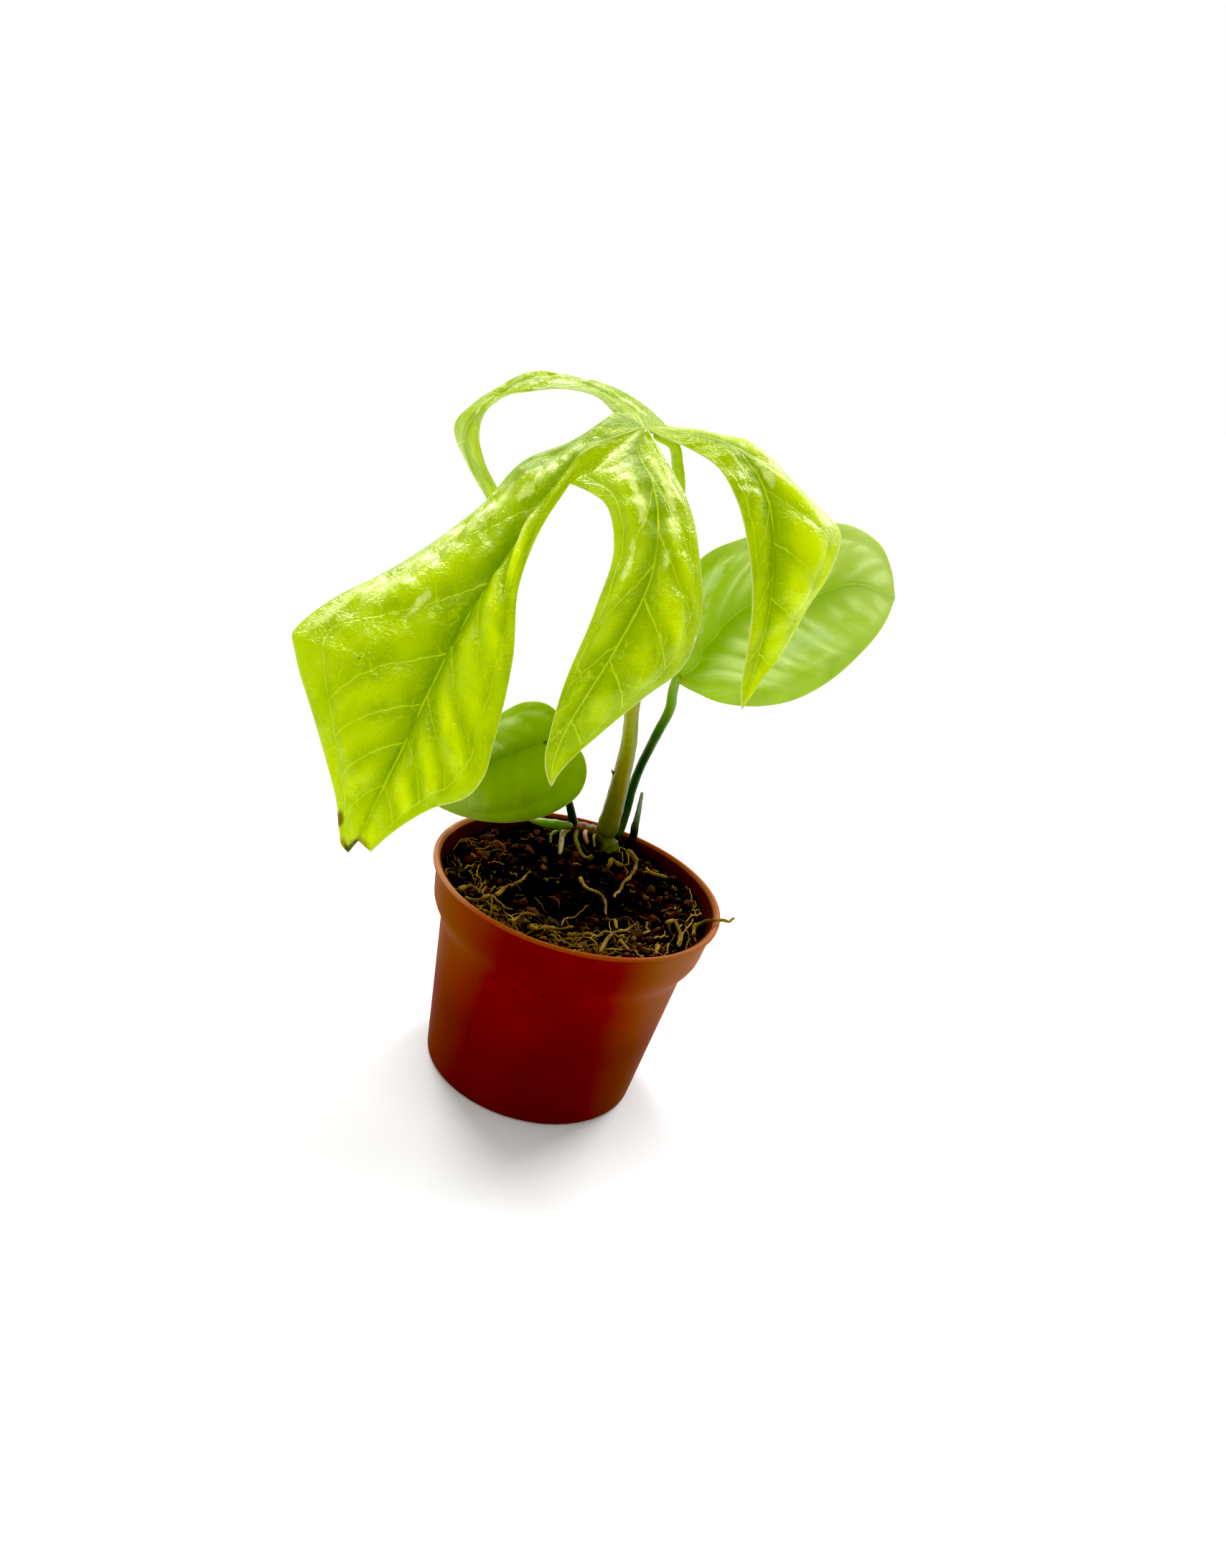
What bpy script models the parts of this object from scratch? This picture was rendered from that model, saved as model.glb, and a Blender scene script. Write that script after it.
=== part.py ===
"""A young silver amydrium in a small nursery pot.

Metres, +Z up. The origin is the middle of the pot's flat foot. The front is -Y.
"""

import math

import bmesh
import bpy
import numpy as np
from mathutils import Vector
from mathutils.bvhtree import BVHTree

OBJECT_NAME = "potted_silver_amydrium"
MM = 0.001
GAP = 0.3 * MM
WELD_DISTANCE = 0.01 * MM
SHARP_ANGLE = math.radians(50)

# Pot
POT_HEIGHT = 45.0 * MM
POT_RIM_RADIUS = 30.0 * MM
POT_FOOT_RADIUS = 22.4 * MM
POT_WALL = 1.2 * MM
POT_FLOOR = 1.5 * MM
LIP_DEPTH = 1.7 * MM
LIP_WIDTH = 1.7 * MM
LIP_ROUNDING = 0.8 * MM
COLLAR_TOP_RADIUS = 29.0 * MM
COLLAR_BOTTOM = 35.4 * MM
COLLAR_RADIUS = 28.1 * MM
COLLAR_ROUNDING = 0.6 * MM
BODY_TOP = 32.6 * MM
BODY_TOP_RADIUS = 25.9 * MM
BODY_TOP_FLARE = 1.1 * MM
FOOT_ROUNDING = 1.0 * MM
POT_STEPS = 56
ROUNDING_STEPS = 3
DRAIN_HOLES = 6
DRAIN_RADIUS = 2.4 * MM
DRAIN_CIRCLE = 13.0 * MM
DRAIN_SIDES = 16

# Potting mix
SOIL_LEVEL = 41.8 * MM
SOIL_STEPS = 44
SOIL_RINGS = 9
SOIL_EDGE_CLEARANCE = 0.6 * MM
MOUND_HEIGHT = 2.2 * MM
MOUND_CENTRE = (3.0 * MM, 23.0 * MM)
MOUND_SPREAD = 7.5 * MM
HOLLOW_DEPTH = 1.6 * MM
HOLLOW_CENTRE = (-3.0 * MM, 11.0 * MM)
HOLLOW_SPREAD = 5.0 * MM
LUMP_WAVES = 5
LUMP_HEIGHT = 0.32 * MM
LUMP_SIZE = 7.0 * MM
LUMP_SEED = 11

# Leaf blades
BLADE_THICKNESS = 0.7 * MM
SEAM_WELD = 0.02 * MM
SEAM_ROWS = 3
HALF_COLUMNS = 4
ARCH_FULLNESS = 0.6

# Where the four veins of the split leaf part, in millimetres
JUNCTION = (-10.5, -2.5, 134.5)
# The notches between its lobes, in millimetres
NOTCH_TERMINAL_BACK = (-16.5, 2, 135)
NOTCH_TERMINAL_MIDDLE = (-20, -11, 123)
NOTCH_MIDDLE_RIGHT = (-9.5, -4.5, 134.5)
NOTCH_RIGHT_BACK = (-6.5, 0, 135.5)

# Each lobe has its two margins from notch to tip and its vein from junction to tip, in millimetres.
# root_share is how far along the vein the notches lie, and rise how high each half arches.
TERMINAL_LOBE = dict(
    left=[NOTCH_TERMINAL_BACK, (-22.5, 1, 128.5), (-30, -1, 123), (-34.5, -5, 115), (-39.5, -10, 108.5),
          (-47.5, -20, 100.5), (-55, -29, 93.5), (-57, -33, 90), (-51, -39, 83), (-44, -44, 73),
          (-40.5, -46, 68), (-38, -47, 61.5)],
    vein=[JUNCTION, (-19, -6, 128.5), (-23.5, -12, 118.5), (-26.5, -17, 110), (-29.5, -23, 101.5),
          (-32, -31, 90.5), (-33.5, -38, 81), (-35.5, -45, 69.5), (-36.5, -47, 64)],
    right=[NOTCH_TERMINAL_MIDDLE, (-22.5, -17, 115), (-23, -24, 106), (-20.5, -31, 96.5),
           (-19.5, -39, 82.5), (-19.5, -41, 78.5), (-21, -42, 75), (-26.5, -44, 71.5), (-32, -47, 66),
           (-34, -48, 63)],
    rows=26, root_share=0.13, rise=(2.6, 1.8),
)
MIDDLE_LOBE = dict(
    left=[NOTCH_TERMINAL_MIDDLE, (-17, -13, 123), (-12.5, -17, 122), (-9.5, -21, 117), (-9.5, -27, 107),
          (-11, -33, 95), (-11, -36, 84.5), (-8.5, -38, 78.5)],
    vein=[JUNCTION, (-10, -8, 131), (-6, -15, 127.5), (-3.5, -20, 123), (-2, -27, 113.5),
          (-3.5, -31, 106), (-6, -34, 97.5), (-9, -36, 89), (-8.5, -38, 79)],
    right=[NOTCH_MIDDLE_RIGHT, (-4.5, -9, 130.5), (1, -15, 125.5), (5, -21, 118.5), (8, -25, 108.5),
           (7, -28, 101.5), (2.5, -31, 96), (-2.5, -34, 89.5), (-7, -37, 83), (-8, -38, 79)],
    rows=22, root_share=0.09, rise=(1.6, 1.8),
)
RIGHT_LOBE = dict(
    left=[NOTCH_MIDDLE_RIGHT, (-6, -5, 134), (-1.5, -6, 133.5), (4, -8, 132), (8.5, -11, 128),
          (12.5, -14, 121.5), (16, -16, 112.5), (17.5, -17, 104.5), (19.5, -18, 94.5)],
    vein=[JUNCTION, (-7.5, -2.5, 135), (-2, -3, 135.5), (4.5, -3, 135.5), (10, -5, 133), (14.5, -8, 128),
          (17, -11, 121), (19, -14, 112.5), (19.5, -16, 103.5), (20, -18, 94.5)],
    right=[NOTCH_RIGHT_BACK, (-3.5, 1, 136), (2.5, 2, 136.5), (10, 3, 136), (18.5, 3, 131.5),
           (25.5, 1, 128), (28, 0, 126.5), (28.5, -5, 120), (26, -9, 112.5), (24, -13, 105.5),
           (21, -17, 98.5), (20.5, -18, 94.5)],
    rows=22, root_share=0.05, rise=(1.0, 1.6),
)
BACK_LOBE = dict(
    left=[NOTCH_RIGHT_BACK, (-12, 6, 137.5), (-18.5, 11, 138.5), (-26, 15, 138), (-35, 18, 136.5),
          (-40.5, 20, 132), (-45, 22, 127.5), (-48, 23, 122.5), (-43.5, 23, 115), (-36.5, 21, 110),
          (-37, 18, 98.5), (-37, 15, 88.5)],
    vein=[JUNCTION, (-13, 3, 136), (-18.5, 8, 137), (-25.5, 12, 137.5), (-34, 15, 135.5),
          (-39, 17, 131.5), (-43, 18, 127), (-44.5, 18.5, 122.5), (-42.5, 18, 117.5), (-37, 17, 110.5),
          (-34, 16, 100), (-36.5, 15, 88.5)],
    right=[NOTCH_TERMINAL_BACK, (-20.5, 6, 136.5), (-27, 9, 136), (-33.5, 12, 133.5), (-38.5, 14, 131),
           (-41.5, 15, 126.5), (-41.5, 15.5, 122.5), (-39.5, 15, 118.5), (-34, 15, 111.5),
           (-31.5, 14, 101), (-36, 15, 88.5)],
    rows=24, root_share=0.06, rise=(0.5, 0.5),
)
SPLIT_LEAF_LOBES = (TERMINAL_LOBE, MIDDLE_LOBE, RIGHT_LOBE, BACK_LOBE)

OVAL_BASE = (7.5, 9, 88.5)
OVAL_BLADE = dict(
    left=[OVAL_BASE, (9.5, 9, 88), (15.5, 8.5, 86.5), (23.5, 8, 87.5), (31, 8, 91), (36, 9, 95.5),
          (40.5, 10.5, 102), (44, 13, 110), (44.5, 14.5, 114.5)],
    vein=[OVAL_BASE, (10, 9.5, 90.5), (12.5, 11, 97), (15, 12, 102.5), (18, 13, 106), (28, 14, 110),
          (36.5, 15, 115), (44.5, 14.5, 114.5)],
    right=[OVAL_BASE, (6, 12, 94), (4.5, 15, 102), (4.5, 18, 107.5), (7, 19.5, 112), (13.5, 21, 117),
           (22.5, 22, 121.5), (33.5, 22, 124.5), (39, 20, 123), (42.5, 17, 119), (44.5, 14.5, 114.5)],
    rows=22, rise=(1.4, 1.2),
)

HEART_BASE = (-15, 13, 66.5)
HEART_BLADE = dict(
    left=[HEART_BASE, (-15.5, 16, 70), (-14.5, 17, 71.5), (-17, 19, 72.5), (-21, 20, 71.5), (-24.5, 20, 68.5),
          (-28.5, 18, 63), (-32.5, 14, 56.5), (-34, 10, 51.5), (-34.5, 8, 48.5)],
    vein=[HEART_BASE, (-19.5, 12.5, 62.5), (-24.5, 11.5, 58.5), (-29.5, 10, 53.5), (-34.5, 8, 48.5)],
    right=[HEART_BASE, (-10.5, 13, 67.5), (-7, 13, 67), (-4.5, 12, 63.5), (-4.5, 11, 59), (-7.5, 10, 54.5),
           (-14, 9, 50), (-21, 8, 48), (-27.5, 8, 47.5), (-34.5, 8, 48.5)],
    rows=18, rise=(1.2, 1.2),
)

# Stalks and stems: centre points and the radius at each, in millimetres
MAIN_PETIOLE = [(-7.5, -2.8, 134.3), (-5.5, -2.4, 133.2), (-3.6, -1, 129.5), (-0.1, 6, 108.6), (0.7, 10, 93),
                (1, 14, 79.4), (2.4, 17.3, 70), (2.9, 19.4, 61), (3.1, 21, 52.7), (3.1, 21.6, 48)]
MAIN_PETIOLE_RADII = [0.9, 1.05, 1.1, 1.25, 1.35, 1.5, 1.65, 1.85, 2.1, 2.5]
OVAL_PETIOLE = [(7.9, 9.2, 88.7), (7.9, 10, 86), (8.4, 12, 81.6), (7.5, 15.5, 74.5), (6.9, 19, 69.4),
                (6.2, 21.5, 64), (5.8, 23.6, 57), (5.9, 24.6, 51), (5.6, 24.2, 46.4)]
OVAL_PETIOLE_RADII = [0.8, 0.9, 0.95, 1.0, 1.0, 1.0, 1.05, 1.1, 1.2]
HEART_PETIOLE = [(-15, 13.3, 66.3), (-12.8, 15.8, 62), (-9.4, 18, 56.8), (-6.6, 20, 52), (-4.6, 21.3, 47.3)]
HEART_PETIOLE_RADII = [0.65, 0.75, 0.75, 0.85, 1.0]
# The two edges of the thin sheath along the main petiole's foot
SHEATH_OUTER = [(0.6, 21.4, 49.4), (1, 20.9, 52.1), (1.1, 19.8, 57.5), (1.1, 19.2, 60.5), (0.3, 18.6, 62.6)]
SHEATH_INNER = [(2.8, 21.4, 49.4), (2.9, 21, 52), (2.8, 20, 57.5), (2.5, 19.3, 60.3), (2.2, 18.6, 62)]
SHEATH_ROWS = 8
MAIN_STEM = [(-5.4, 21.5, 45.9), (-3.6, 21.6, 46.2), (-0.8, 21.6, 46.2), (2.4, 21.6, 45.6), (4.3, 21.4, 43.6),
             (5, 21.2, 39.5), (5, 21, 33)]
MAIN_STEM_RADII = [1.0, 1.3, 1.6, 2.4, 2.7, 2.2, 1.4]
STEM_RINGS = 22
STEM_NODE_SWELL = 0.12
STEM_NODE_EVERY = 4
# How many of a petiole's last centre points its seat in the stem follows
SEAT_POINTS = 3
DRIED_STUB = [(8.2, 24, 57), (8.6, 23.9, 52.2), (8.8, 23.8, 48.6), (9.1, 23.8, 46), (9.2, 23.8, 39.5)]
DRIED_STUB_RADII = [0.3, 0.55, 0.9, 0.95, 0.8]
BUD_SHEATH = [(-13.4, 18.4, 46.2), (-10.5, 18.4, 46.4), (-7.5, 18.8, 46.7), (-5.1, 19.5, 46.9)]
BUD_SHEATH_RADII = [0.5, 1.0, 1.1, 0.8]
# Roots that leave the stem in the air and go down to the mix: points, and the radius at the stem
AERIAL_ROOTS = (
    ([(-4.9, 21.5, 45.8), (-5.9, 19.9, 45), (-5.8, 17, 43.4), (-5.2, 15, 41.4)], 0.8),
    ([(-5, 21.5, 45.7), (-7.2, 20.2, 44.8), (-8.4, 18.6, 44), (-8, 17.4, 42.6)], 0.5),
    ([(-3.2, 21.4, 46), (-3.1, 19, 44.6), (-2, 17.5, 43.5), (-0.9, 16.2, 42.7), (0.4, 15.6, 42.4),
      (1.2, 15.9, 43.1)], 0.65),
    ([(-1.3, 21.4, 46.2), (-1.3, 18.8, 46), (-0.4, 17.8, 45)], 0.65),
    ([(0.8, 21.4, 46), (0.8, 18.2, 45.9), (1.3, 17.4, 44.8)], 0.5),
)
AERIAL_ROOT_TIP_SHARE = 0.6
AERIAL_ROOT_POINTS = 8
STALK_POINTS = 14
PETIOLE_POINTS = 18
SHORT_STALK_POINTS = 8

# Roots that lie on the mix: points (x, y) in millimetres, and the radius
SURFACE_ROOTS = (
    ([(-20, -16.6), (-17.2, -15.8), (-15.2, -14.2), (-13.4, -15.1), (-10.9, -15.8)], 0.55),
    ([(-21.8, -13.8), (-19.9, -11.7), (-17.8, -12.6)], 0.5),
    ([(-14.8, -11.8), (-13.4, -8.3), (-11.5, -3.8), (-10, 1.2)], 0.45),
    ([(-10.5, -21.2), (-9.7, -19), (-8.1, -17.2), (-6.4, -16.7)], 0.5),
    ([(-7.4, -19.9), (-5.2, -21.4)], 0.75),
    ([(-3.8, -20.6), (-1.4, -18.3), (1.3, -16.9)], 0.5),
    ([(1.1, -19.2), (3.4, -18.6), (5.7, -17.1)], 0.45),
    ([(0.1, 5.9), (2.1, 2), (4.2, 0.5), (5.9, -1.4), (7.2, -6.5)], 0.5),
    ([(9, -8.4), (9.8, -11.8)], 0.45),
    ([(7.4, -22.5), (9.2, -15.1), (13.3, -8.5)], 0.5),
    ([(10.9, -16.2), (11.8, -17.7), (14, -20.2)], 0.45),
    ([(13.4, -15), (14.5, -12.3), (16.2, -9.9)], 0.45),
    ([(19.4, -4.6), (20.9, -2.2), (22, -5.3), (22.3, -13.3)], 0.5),
    ([(18.1, -14.4), (18.2, -17.8)], 0.55),
    ([(5.2, 13.2), (6.1, 16), (7.6, 14.4), (9.2, 15)], 0.6),
)
# A root that starts beside the stem and forks
FORKED_ROOT = ([(9, 20.2), (9.8, 19.4), (11.1, 18.2), (12.6, 17.6), (14.4, 15.7), (18.1, 15.4)], 0.7)
FORKED_ROOT_BRANCH = ([(11, 18.3), (10.9, 13.3), (9.5, 8.9), (8.5, 3.4), (7.8, 0.6)], 0.5)
# A root that hangs over the lip: (x, y, z) in millimetres
LIP_ROOT = [(25, -6.2, 42.9), (25.2, -4.2, 43.7), (26.6, -4, 45.1), (28.6, -3.6, 45.9), (30.2, -2.8, 45.9),
            (31.4, -2.4, 45.7), (32.4, -1, 46.1)]
LIP_ROOT_RADIUS = 0.5
ROOT_TIP_SHARE = 0.55
ROOT_POINTS = 9
ROOT_FEWEST_POINTS = 3

# How round a stalk or a root is: steps in each quarter of its section
STALK_RESOLUTION = 2
ROOT_RESOLUTION = 1


def clear_scene():
    for thing in list(bpy.data.objects):
        bpy.data.objects.remove(thing, do_unlink=True)


def new_collection(name):
    collection = bpy.data.collections.new(name)
    bpy.context.scene.collection.children.link(collection)
    return collection


def material(name, colour, roughness):
    """A Principled material of one colour."""
    made = bpy.data.materials.new(name)
    made.use_nodes = True
    shader = made.node_tree.nodes["Principled BSDF"]
    shader.inputs["Base Color"].default_value = (*colour, 1.0)
    shader.inputs["Roughness"].default_value = roughness
    shader.inputs["Metallic"].default_value = 0.0
    return made


def mesh_object(name, mesh, finish, collection):
    thing = bpy.data.objects.new(name, mesh)
    collection.objects.link(thing)
    mesh.materials.clear()
    if finish:
        mesh.materials.append(finish)
    mesh.shade_smooth()
    mesh.set_sharp_from_angle(angle=SHARP_ANGLE)
    return thing


def as_cutter(thing):
    thing.hide_render = True
    thing.display_type = "WIRE"
    return thing


def applied(thing, finish, collection, weld=True):
    """The object as a plain mesh with its modifiers or curve bevel applied, in place of the old one."""
    bpy.context.view_layer.update()
    evaluated = thing.evaluated_get(bpy.context.evaluated_depsgraph_get())
    mesh = bpy.data.meshes.new_from_object(evaluated)
    name = thing.name
    place = thing.matrix_world.copy()
    bpy.data.objects.remove(thing, do_unlink=True)
    if weld:
        welded = bmesh.new()
        welded.from_mesh(mesh)
        bmesh.ops.remove_doubles(welded, verts=welded.verts, dist=WELD_DISTANCE)
        welded.to_mesh(mesh)
        welded.free()
    made = mesh_object(name, mesh, finish, collection)
    made.matrix_world = place
    return made


def smooth_path(points, fractions):
    """Points at these fractions of the length of a smooth curve through the given points."""
    points = np.asarray(points, float)
    steps = np.linalg.norm(np.diff(points, axis=0), axis=1)
    at = np.concatenate([[0.0], np.cumsum(steps)]) / steps.sum()
    if len(points) == 2:
        return points[0] + np.asarray(fractions)[:, None] * (points[1] - points[0])
    slope = np.gradient(points, at, axis=0)
    i = np.clip(np.searchsorted(at, fractions, side="right") - 1, 0, len(at) - 2)
    span = (at[i + 1] - at[i])[:, None]
    t = (fractions - at[i])[:, None] / span
    start = (2 * t**3 - 3 * t**2 + 1) * points[i] + (t**3 - 2 * t**2 + t) * span * slope[i]
    end = (3 * t**2 - 2 * t**3) * points[i + 1] + (t**3 - t**2) * span * slope[i + 1]
    return start + end


def lobe_rows(lobe):
    """The left margin, vein and right margin of a lobe, one point a row, from junction to tip."""
    share = lobe["root_share"]
    seam = np.linspace(0, 1, SEAM_ROWS + 1)[:-1, None]
    free = np.linspace(0, 1, lobe["rows"] - SEAM_ROWS + 1)
    root = np.array(lobe["vein"][0], float)
    margins = []
    for side in ("left", "right"):
        notch = np.array(lobe[side][0], float)
        start = root + seam * (notch - root)
        margins.append(np.vstack([start, smooth_path(lobe[side], free)]))
    along = np.concatenate([np.linspace(0, share, SEAM_ROWS + 1)[:-1], share + free * (1 - share)])
    return margins[0], smooth_path(lobe["vein"], along), margins[1]


def basal_rows(blade):
    """The same rows for an entire leaf, whose margins both start at the petiole."""
    rows = blade["rows"]
    along = np.linspace(0, 1, rows + 1)
    vein_along = np.clip((along - SEAM_ROWS / rows) / (1 - SEAM_ROWS / rows), 0, 1)
    return (
        smooth_path(blade["left"], along),
        smooth_path(blade["vein"], vein_along),
        smooth_path(blade["right"], along),
    )


def arched_grid(left, vein, right, rise):
    """Rows of points from left margin over vein to right margin, each half arched to its upper side."""
    forward = np.gradient(vein, axis=0)
    widest = np.argmax(np.linalg.norm(left - vein, axis=1))
    forward[np.linalg.norm(forward, axis=1) == 0] = forward[widest]
    swell = np.sin(np.pi * np.linspace(0, 1, len(vein))) ** ARCH_FULLNESS
    halves = []
    for margin, height, turn in ((left, rise[0], 1.0), (right, rise[1], -1.0)):
        across = margin - vein
        up = np.cross(across, forward) * turn
        length = np.linalg.norm(up, axis=1, keepdims=True)
        up = up / np.where(length == 0, 1, length)
        share = np.linspace(0, 1, HALF_COLUMNS + 1)[:, None, None]
        arch = 4 * share * (1 - share) * swell[None, :, None] * height
        halves.append(vein[None] + share * across[None] + arch * up[None])
    left_half = halves[0][:0:-1]
    return np.concatenate([left_half, halves[1]], axis=0).transpose(1, 0, 2) * MM


def blade_mesh(name, grids):
    """One open surface from grids that share their margins, split into triangles."""
    surface = bmesh.new()
    for grid in grids:
        made = [[surface.verts.new(point) for point in row] for row in grid]
        for row, following in zip(made, made[1:]):
            for j in range(len(row) - 1):
                surface.faces.new((row[j], following[j], following[j + 1], row[j + 1]))
    bmesh.ops.remove_doubles(surface, verts=surface.verts, dist=SEAM_WELD)
    bmesh.ops.triangulate(surface, faces=surface.faces, quad_method="SHORT_EDGE")
    bmesh.ops.recalc_face_normals(surface, faces=surface.faces)
    mesh = bpy.data.meshes.new(name)
    surface.to_mesh(mesh)
    surface.free()
    return mesh


def blade(name, grids, finish, collection):
    """A leaf blade: one thin closed body around the surface of its grids."""
    thing = mesh_object(name, blade_mesh(name, grids), finish, collection)
    wall = thing.modifiers.new("thickness", "SOLIDIFY")
    wall.thickness = BLADE_THICKNESS
    wall.offset = 0.0
    return applied(thing, finish, collection)


def tube(name, points, radii, finish, collection, resolution):
    """A round stalk through points in metres, with its radius at each, closed at both ends."""
    curve = bpy.data.curves.new(name, "CURVE")
    curve.dimensions = "3D"
    curve.bevel_depth = 1.0
    curve.bevel_resolution = resolution
    curve.use_fill_caps = True
    spline = curve.splines.new("POLY")
    spline.points.add(len(points) - 1)
    for place, point, radius in zip(spline.points, points, radii):
        place.co = (*point, 1.0)
        place.radius = radius
    thing = bpy.data.objects.new(name, curve)
    collection.objects.link(thing)
    return applied(thing, finish, collection)


def stalk_path(centres, radii, count):
    """Points in metres along a smooth stalk through centres in millimetres, and the radius at each."""
    fractions = np.linspace(0, 1, count)
    widths = np.interp(fractions, np.linspace(0, 1, len(radii)), radii)
    return smooth_path(centres, fractions) * MM, widths * MM


def stalk(name, centres, radii, count, finish, collection):
    points, widths = stalk_path(centres, radii, count)
    return tube(name, points, widths, finish, collection, STALK_RESOLUTION)


def stalk_hole(name, centres, radii, count, cutters):
    """A cutter round a stalk, wider by the gap and longer by it at the foot."""
    points, widths = stalk_path(centres, radii, count)
    onward = points[-1] - points[-2]
    past_foot = points[-1] + GAP * onward / np.linalg.norm(onward)
    points = np.vstack([points, past_foot])
    widths = np.append(widths, widths[-1]) + GAP
    return tube(name, points, widths, None, cutters, STALK_RESOLUTION)


def union(base, others, finish, collection, solver):
    """Others joined to the base, which is then one closed body, and removed."""
    joined = new_collection(base.name + "_parts")
    for other in others:
        for holder in list(other.users_collection):
            holder.objects.unlink(other)
        joined.objects.link(other)
    boolean = base.modifiers.new("union", "BOOLEAN")
    boolean.operation = "UNION"
    boolean.solver = solver
    boolean.operand_type = "COLLECTION"
    boolean.collection = joined
    made = applied(base, finish, collection, weld=False)
    for other in list(joined.objects):
        bpy.data.objects.remove(other, do_unlink=True)
    bpy.data.collections.remove(joined)
    return made


def cut(thing, cutters):
    """Each cutter taken out of the thing by a live modifier."""
    for cutter in cutters:
        boolean = thing.modifiers.new("cut_" + cutter.name, "BOOLEAN")
        boolean.operation = "DIFFERENCE"
        boolean.solver = "EXACT"
        boolean.object = as_cutter(cutter)


def turned(name, profile, steps, finish, collection):
    """A turned body from a profile of (radius, height) that ends on the axis at both ends."""
    mesh = bpy.data.meshes.new(name)
    edges = [(i, i + 1) for i in range(len(profile) - 1)]
    mesh.from_pydata([(radius, 0.0, height) for radius, height in profile], edges, [])
    thing = bpy.data.objects.new(name, mesh)
    collection.objects.link(thing)
    screw = thing.modifiers.new("turn", "SCREW")
    screw.steps = steps
    screw.render_steps = steps
    screw.use_merge_vertices = True
    screw.merge_threshold = WELD_DISTANCE
    return applied(thing, finish, collection)


def arc(radius, height, rounding, start, end):
    """Profile points on a quarter or half circle round (radius, height), angles in degrees from outwards."""
    angles = np.radians(np.linspace(start, end, abs(end - start) * ROUNDING_STEPS // 90 + 1))
    return [(radius + rounding * math.cos(a), height + rounding * math.sin(a)) for a in angles]


def pot_outer_profile():
    """The pot's outer side from the top of the lip down to the foot."""
    lip = arc(POT_RIM_RADIUS - LIP_ROUNDING, POT_HEIGHT - LIP_ROUNDING, LIP_ROUNDING, 90, -90)
    collar = arc(COLLAR_RADIUS - COLLAR_ROUNDING, COLLAR_BOTTOM + COLLAR_ROUNDING, COLLAR_ROUNDING, 0, -90)
    foot = arc(POT_FOOT_RADIUS - FOOT_ROUNDING, FOOT_ROUNDING, FOOT_ROUNDING, 0, -90)
    return [
        *lip,
        (COLLAR_TOP_RADIUS, POT_HEIGHT - LIP_DEPTH),
        *collar,
        (BODY_TOP_RADIUS + BODY_TOP_FLARE / 2, BODY_TOP + BODY_TOP_FLARE),
        (BODY_TOP_RADIUS, BODY_TOP),
        *foot,
    ]


def pot_inner_profile(inset):
    """The pot's inner side from the floor up to the lip, inset from its wall's face."""
    wall = POT_WALL + inset
    return [
        (POT_FOOT_RADIUS - FOOT_ROUNDING - wall, POT_FLOOR + inset),
        (POT_FOOT_RADIUS - wall, POT_FLOOR + inset + FOOT_ROUNDING),
        (BODY_TOP_RADIUS - wall, BODY_TOP),
        (COLLAR_RADIUS - wall, COLLAR_BOTTOM + POT_WALL),
        (COLLAR_TOP_RADIUS - wall, POT_HEIGHT - LIP_DEPTH),
    ]


def make_pot(finish, collection, cutters):
    """The turned pot with its rounded lip, collar and drain holes."""
    half_lip = LIP_ROUNDING / 2
    lip_inside = arc(POT_RIM_RADIUS - LIP_WIDTH + half_lip, POT_HEIGHT - half_lip, half_lip, 180, 90)
    profile = [(0.0, POT_FLOOR), *pot_inner_profile(0.0), *lip_inside, *pot_outer_profile(), (0.0, 0.0)]
    pot = turned("pot", profile, POT_STEPS, finish, collection)
    holes = []
    for i in range(DRAIN_HOLES):
        angle = 2 * math.pi * (i + 0.5) / DRAIN_HOLES
        bpy.ops.mesh.primitive_cylinder_add(
            vertices=DRAIN_SIDES,
            radius=DRAIN_RADIUS,
            depth=4 * POT_FLOOR,
            location=(DRAIN_CIRCLE * math.cos(angle), DRAIN_CIRCLE * math.sin(angle), POT_FLOOR / 2),
        )
        hole = bpy.context.object
        hole.name = f"drain_{i}"
        bpy.context.collection.objects.unlink(hole)
        cutters.objects.link(hole)
        holes.append(hole)
    cut(pot, holes)


def soil_relief(x, y):
    """How far the mix stands above its level: a mound round the stem, a hollow before it, seeded lumps."""
    draw = np.random.default_rng(LUMP_SEED)
    from_mound = (x - MOUND_CENTRE[0]) ** 2 + (y - MOUND_CENTRE[1]) ** 2
    from_hollow = (x - HOLLOW_CENTRE[0]) ** 2 + (y - HOLLOW_CENTRE[1]) ** 2
    height = MOUND_HEIGHT * np.exp(-from_mound / (2 * MOUND_SPREAD**2))
    height = height - HOLLOW_DEPTH * np.exp(-from_hollow / (2 * HOLLOW_SPREAD**2))
    for _ in range(LUMP_WAVES):
        angle, phase = draw.uniform(0, 2 * math.pi, 2)
        across = (x * math.cos(angle) + y * math.sin(angle)) / LUMP_SIZE
        height = height + LUMP_HEIGHT * np.sin(2 * math.pi * across + phase) / 2
    return height


def make_soil(finish, collection):
    """The plug of mix: it fills the pot with a small clearance, and its top carries the relief."""
    side = [point for point in pot_inner_profile(GAP) if point[1] < SOIL_LEVEL]
    edge_radius = COLLAR_TOP_RADIUS - POT_WALL - SOIL_EDGE_CLEARANCE
    top = [(edge_radius * i / SOIL_RINGS, SOIL_LEVEL) for i in range(SOIL_RINGS + 1)]
    profile = [*top, *reversed(side), (0.0, POT_FLOOR + GAP)]
    soil = turned("potting_mix", profile, SOIL_STEPS, finish, collection)
    for vertex in soil.data.vertices:
        if vertex.co.z > SOIL_LEVEL - WELD_DISTANCE:
            vertex.co.z += soil_relief(vertex.co.x, vertex.co.y)
    return soil


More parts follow.
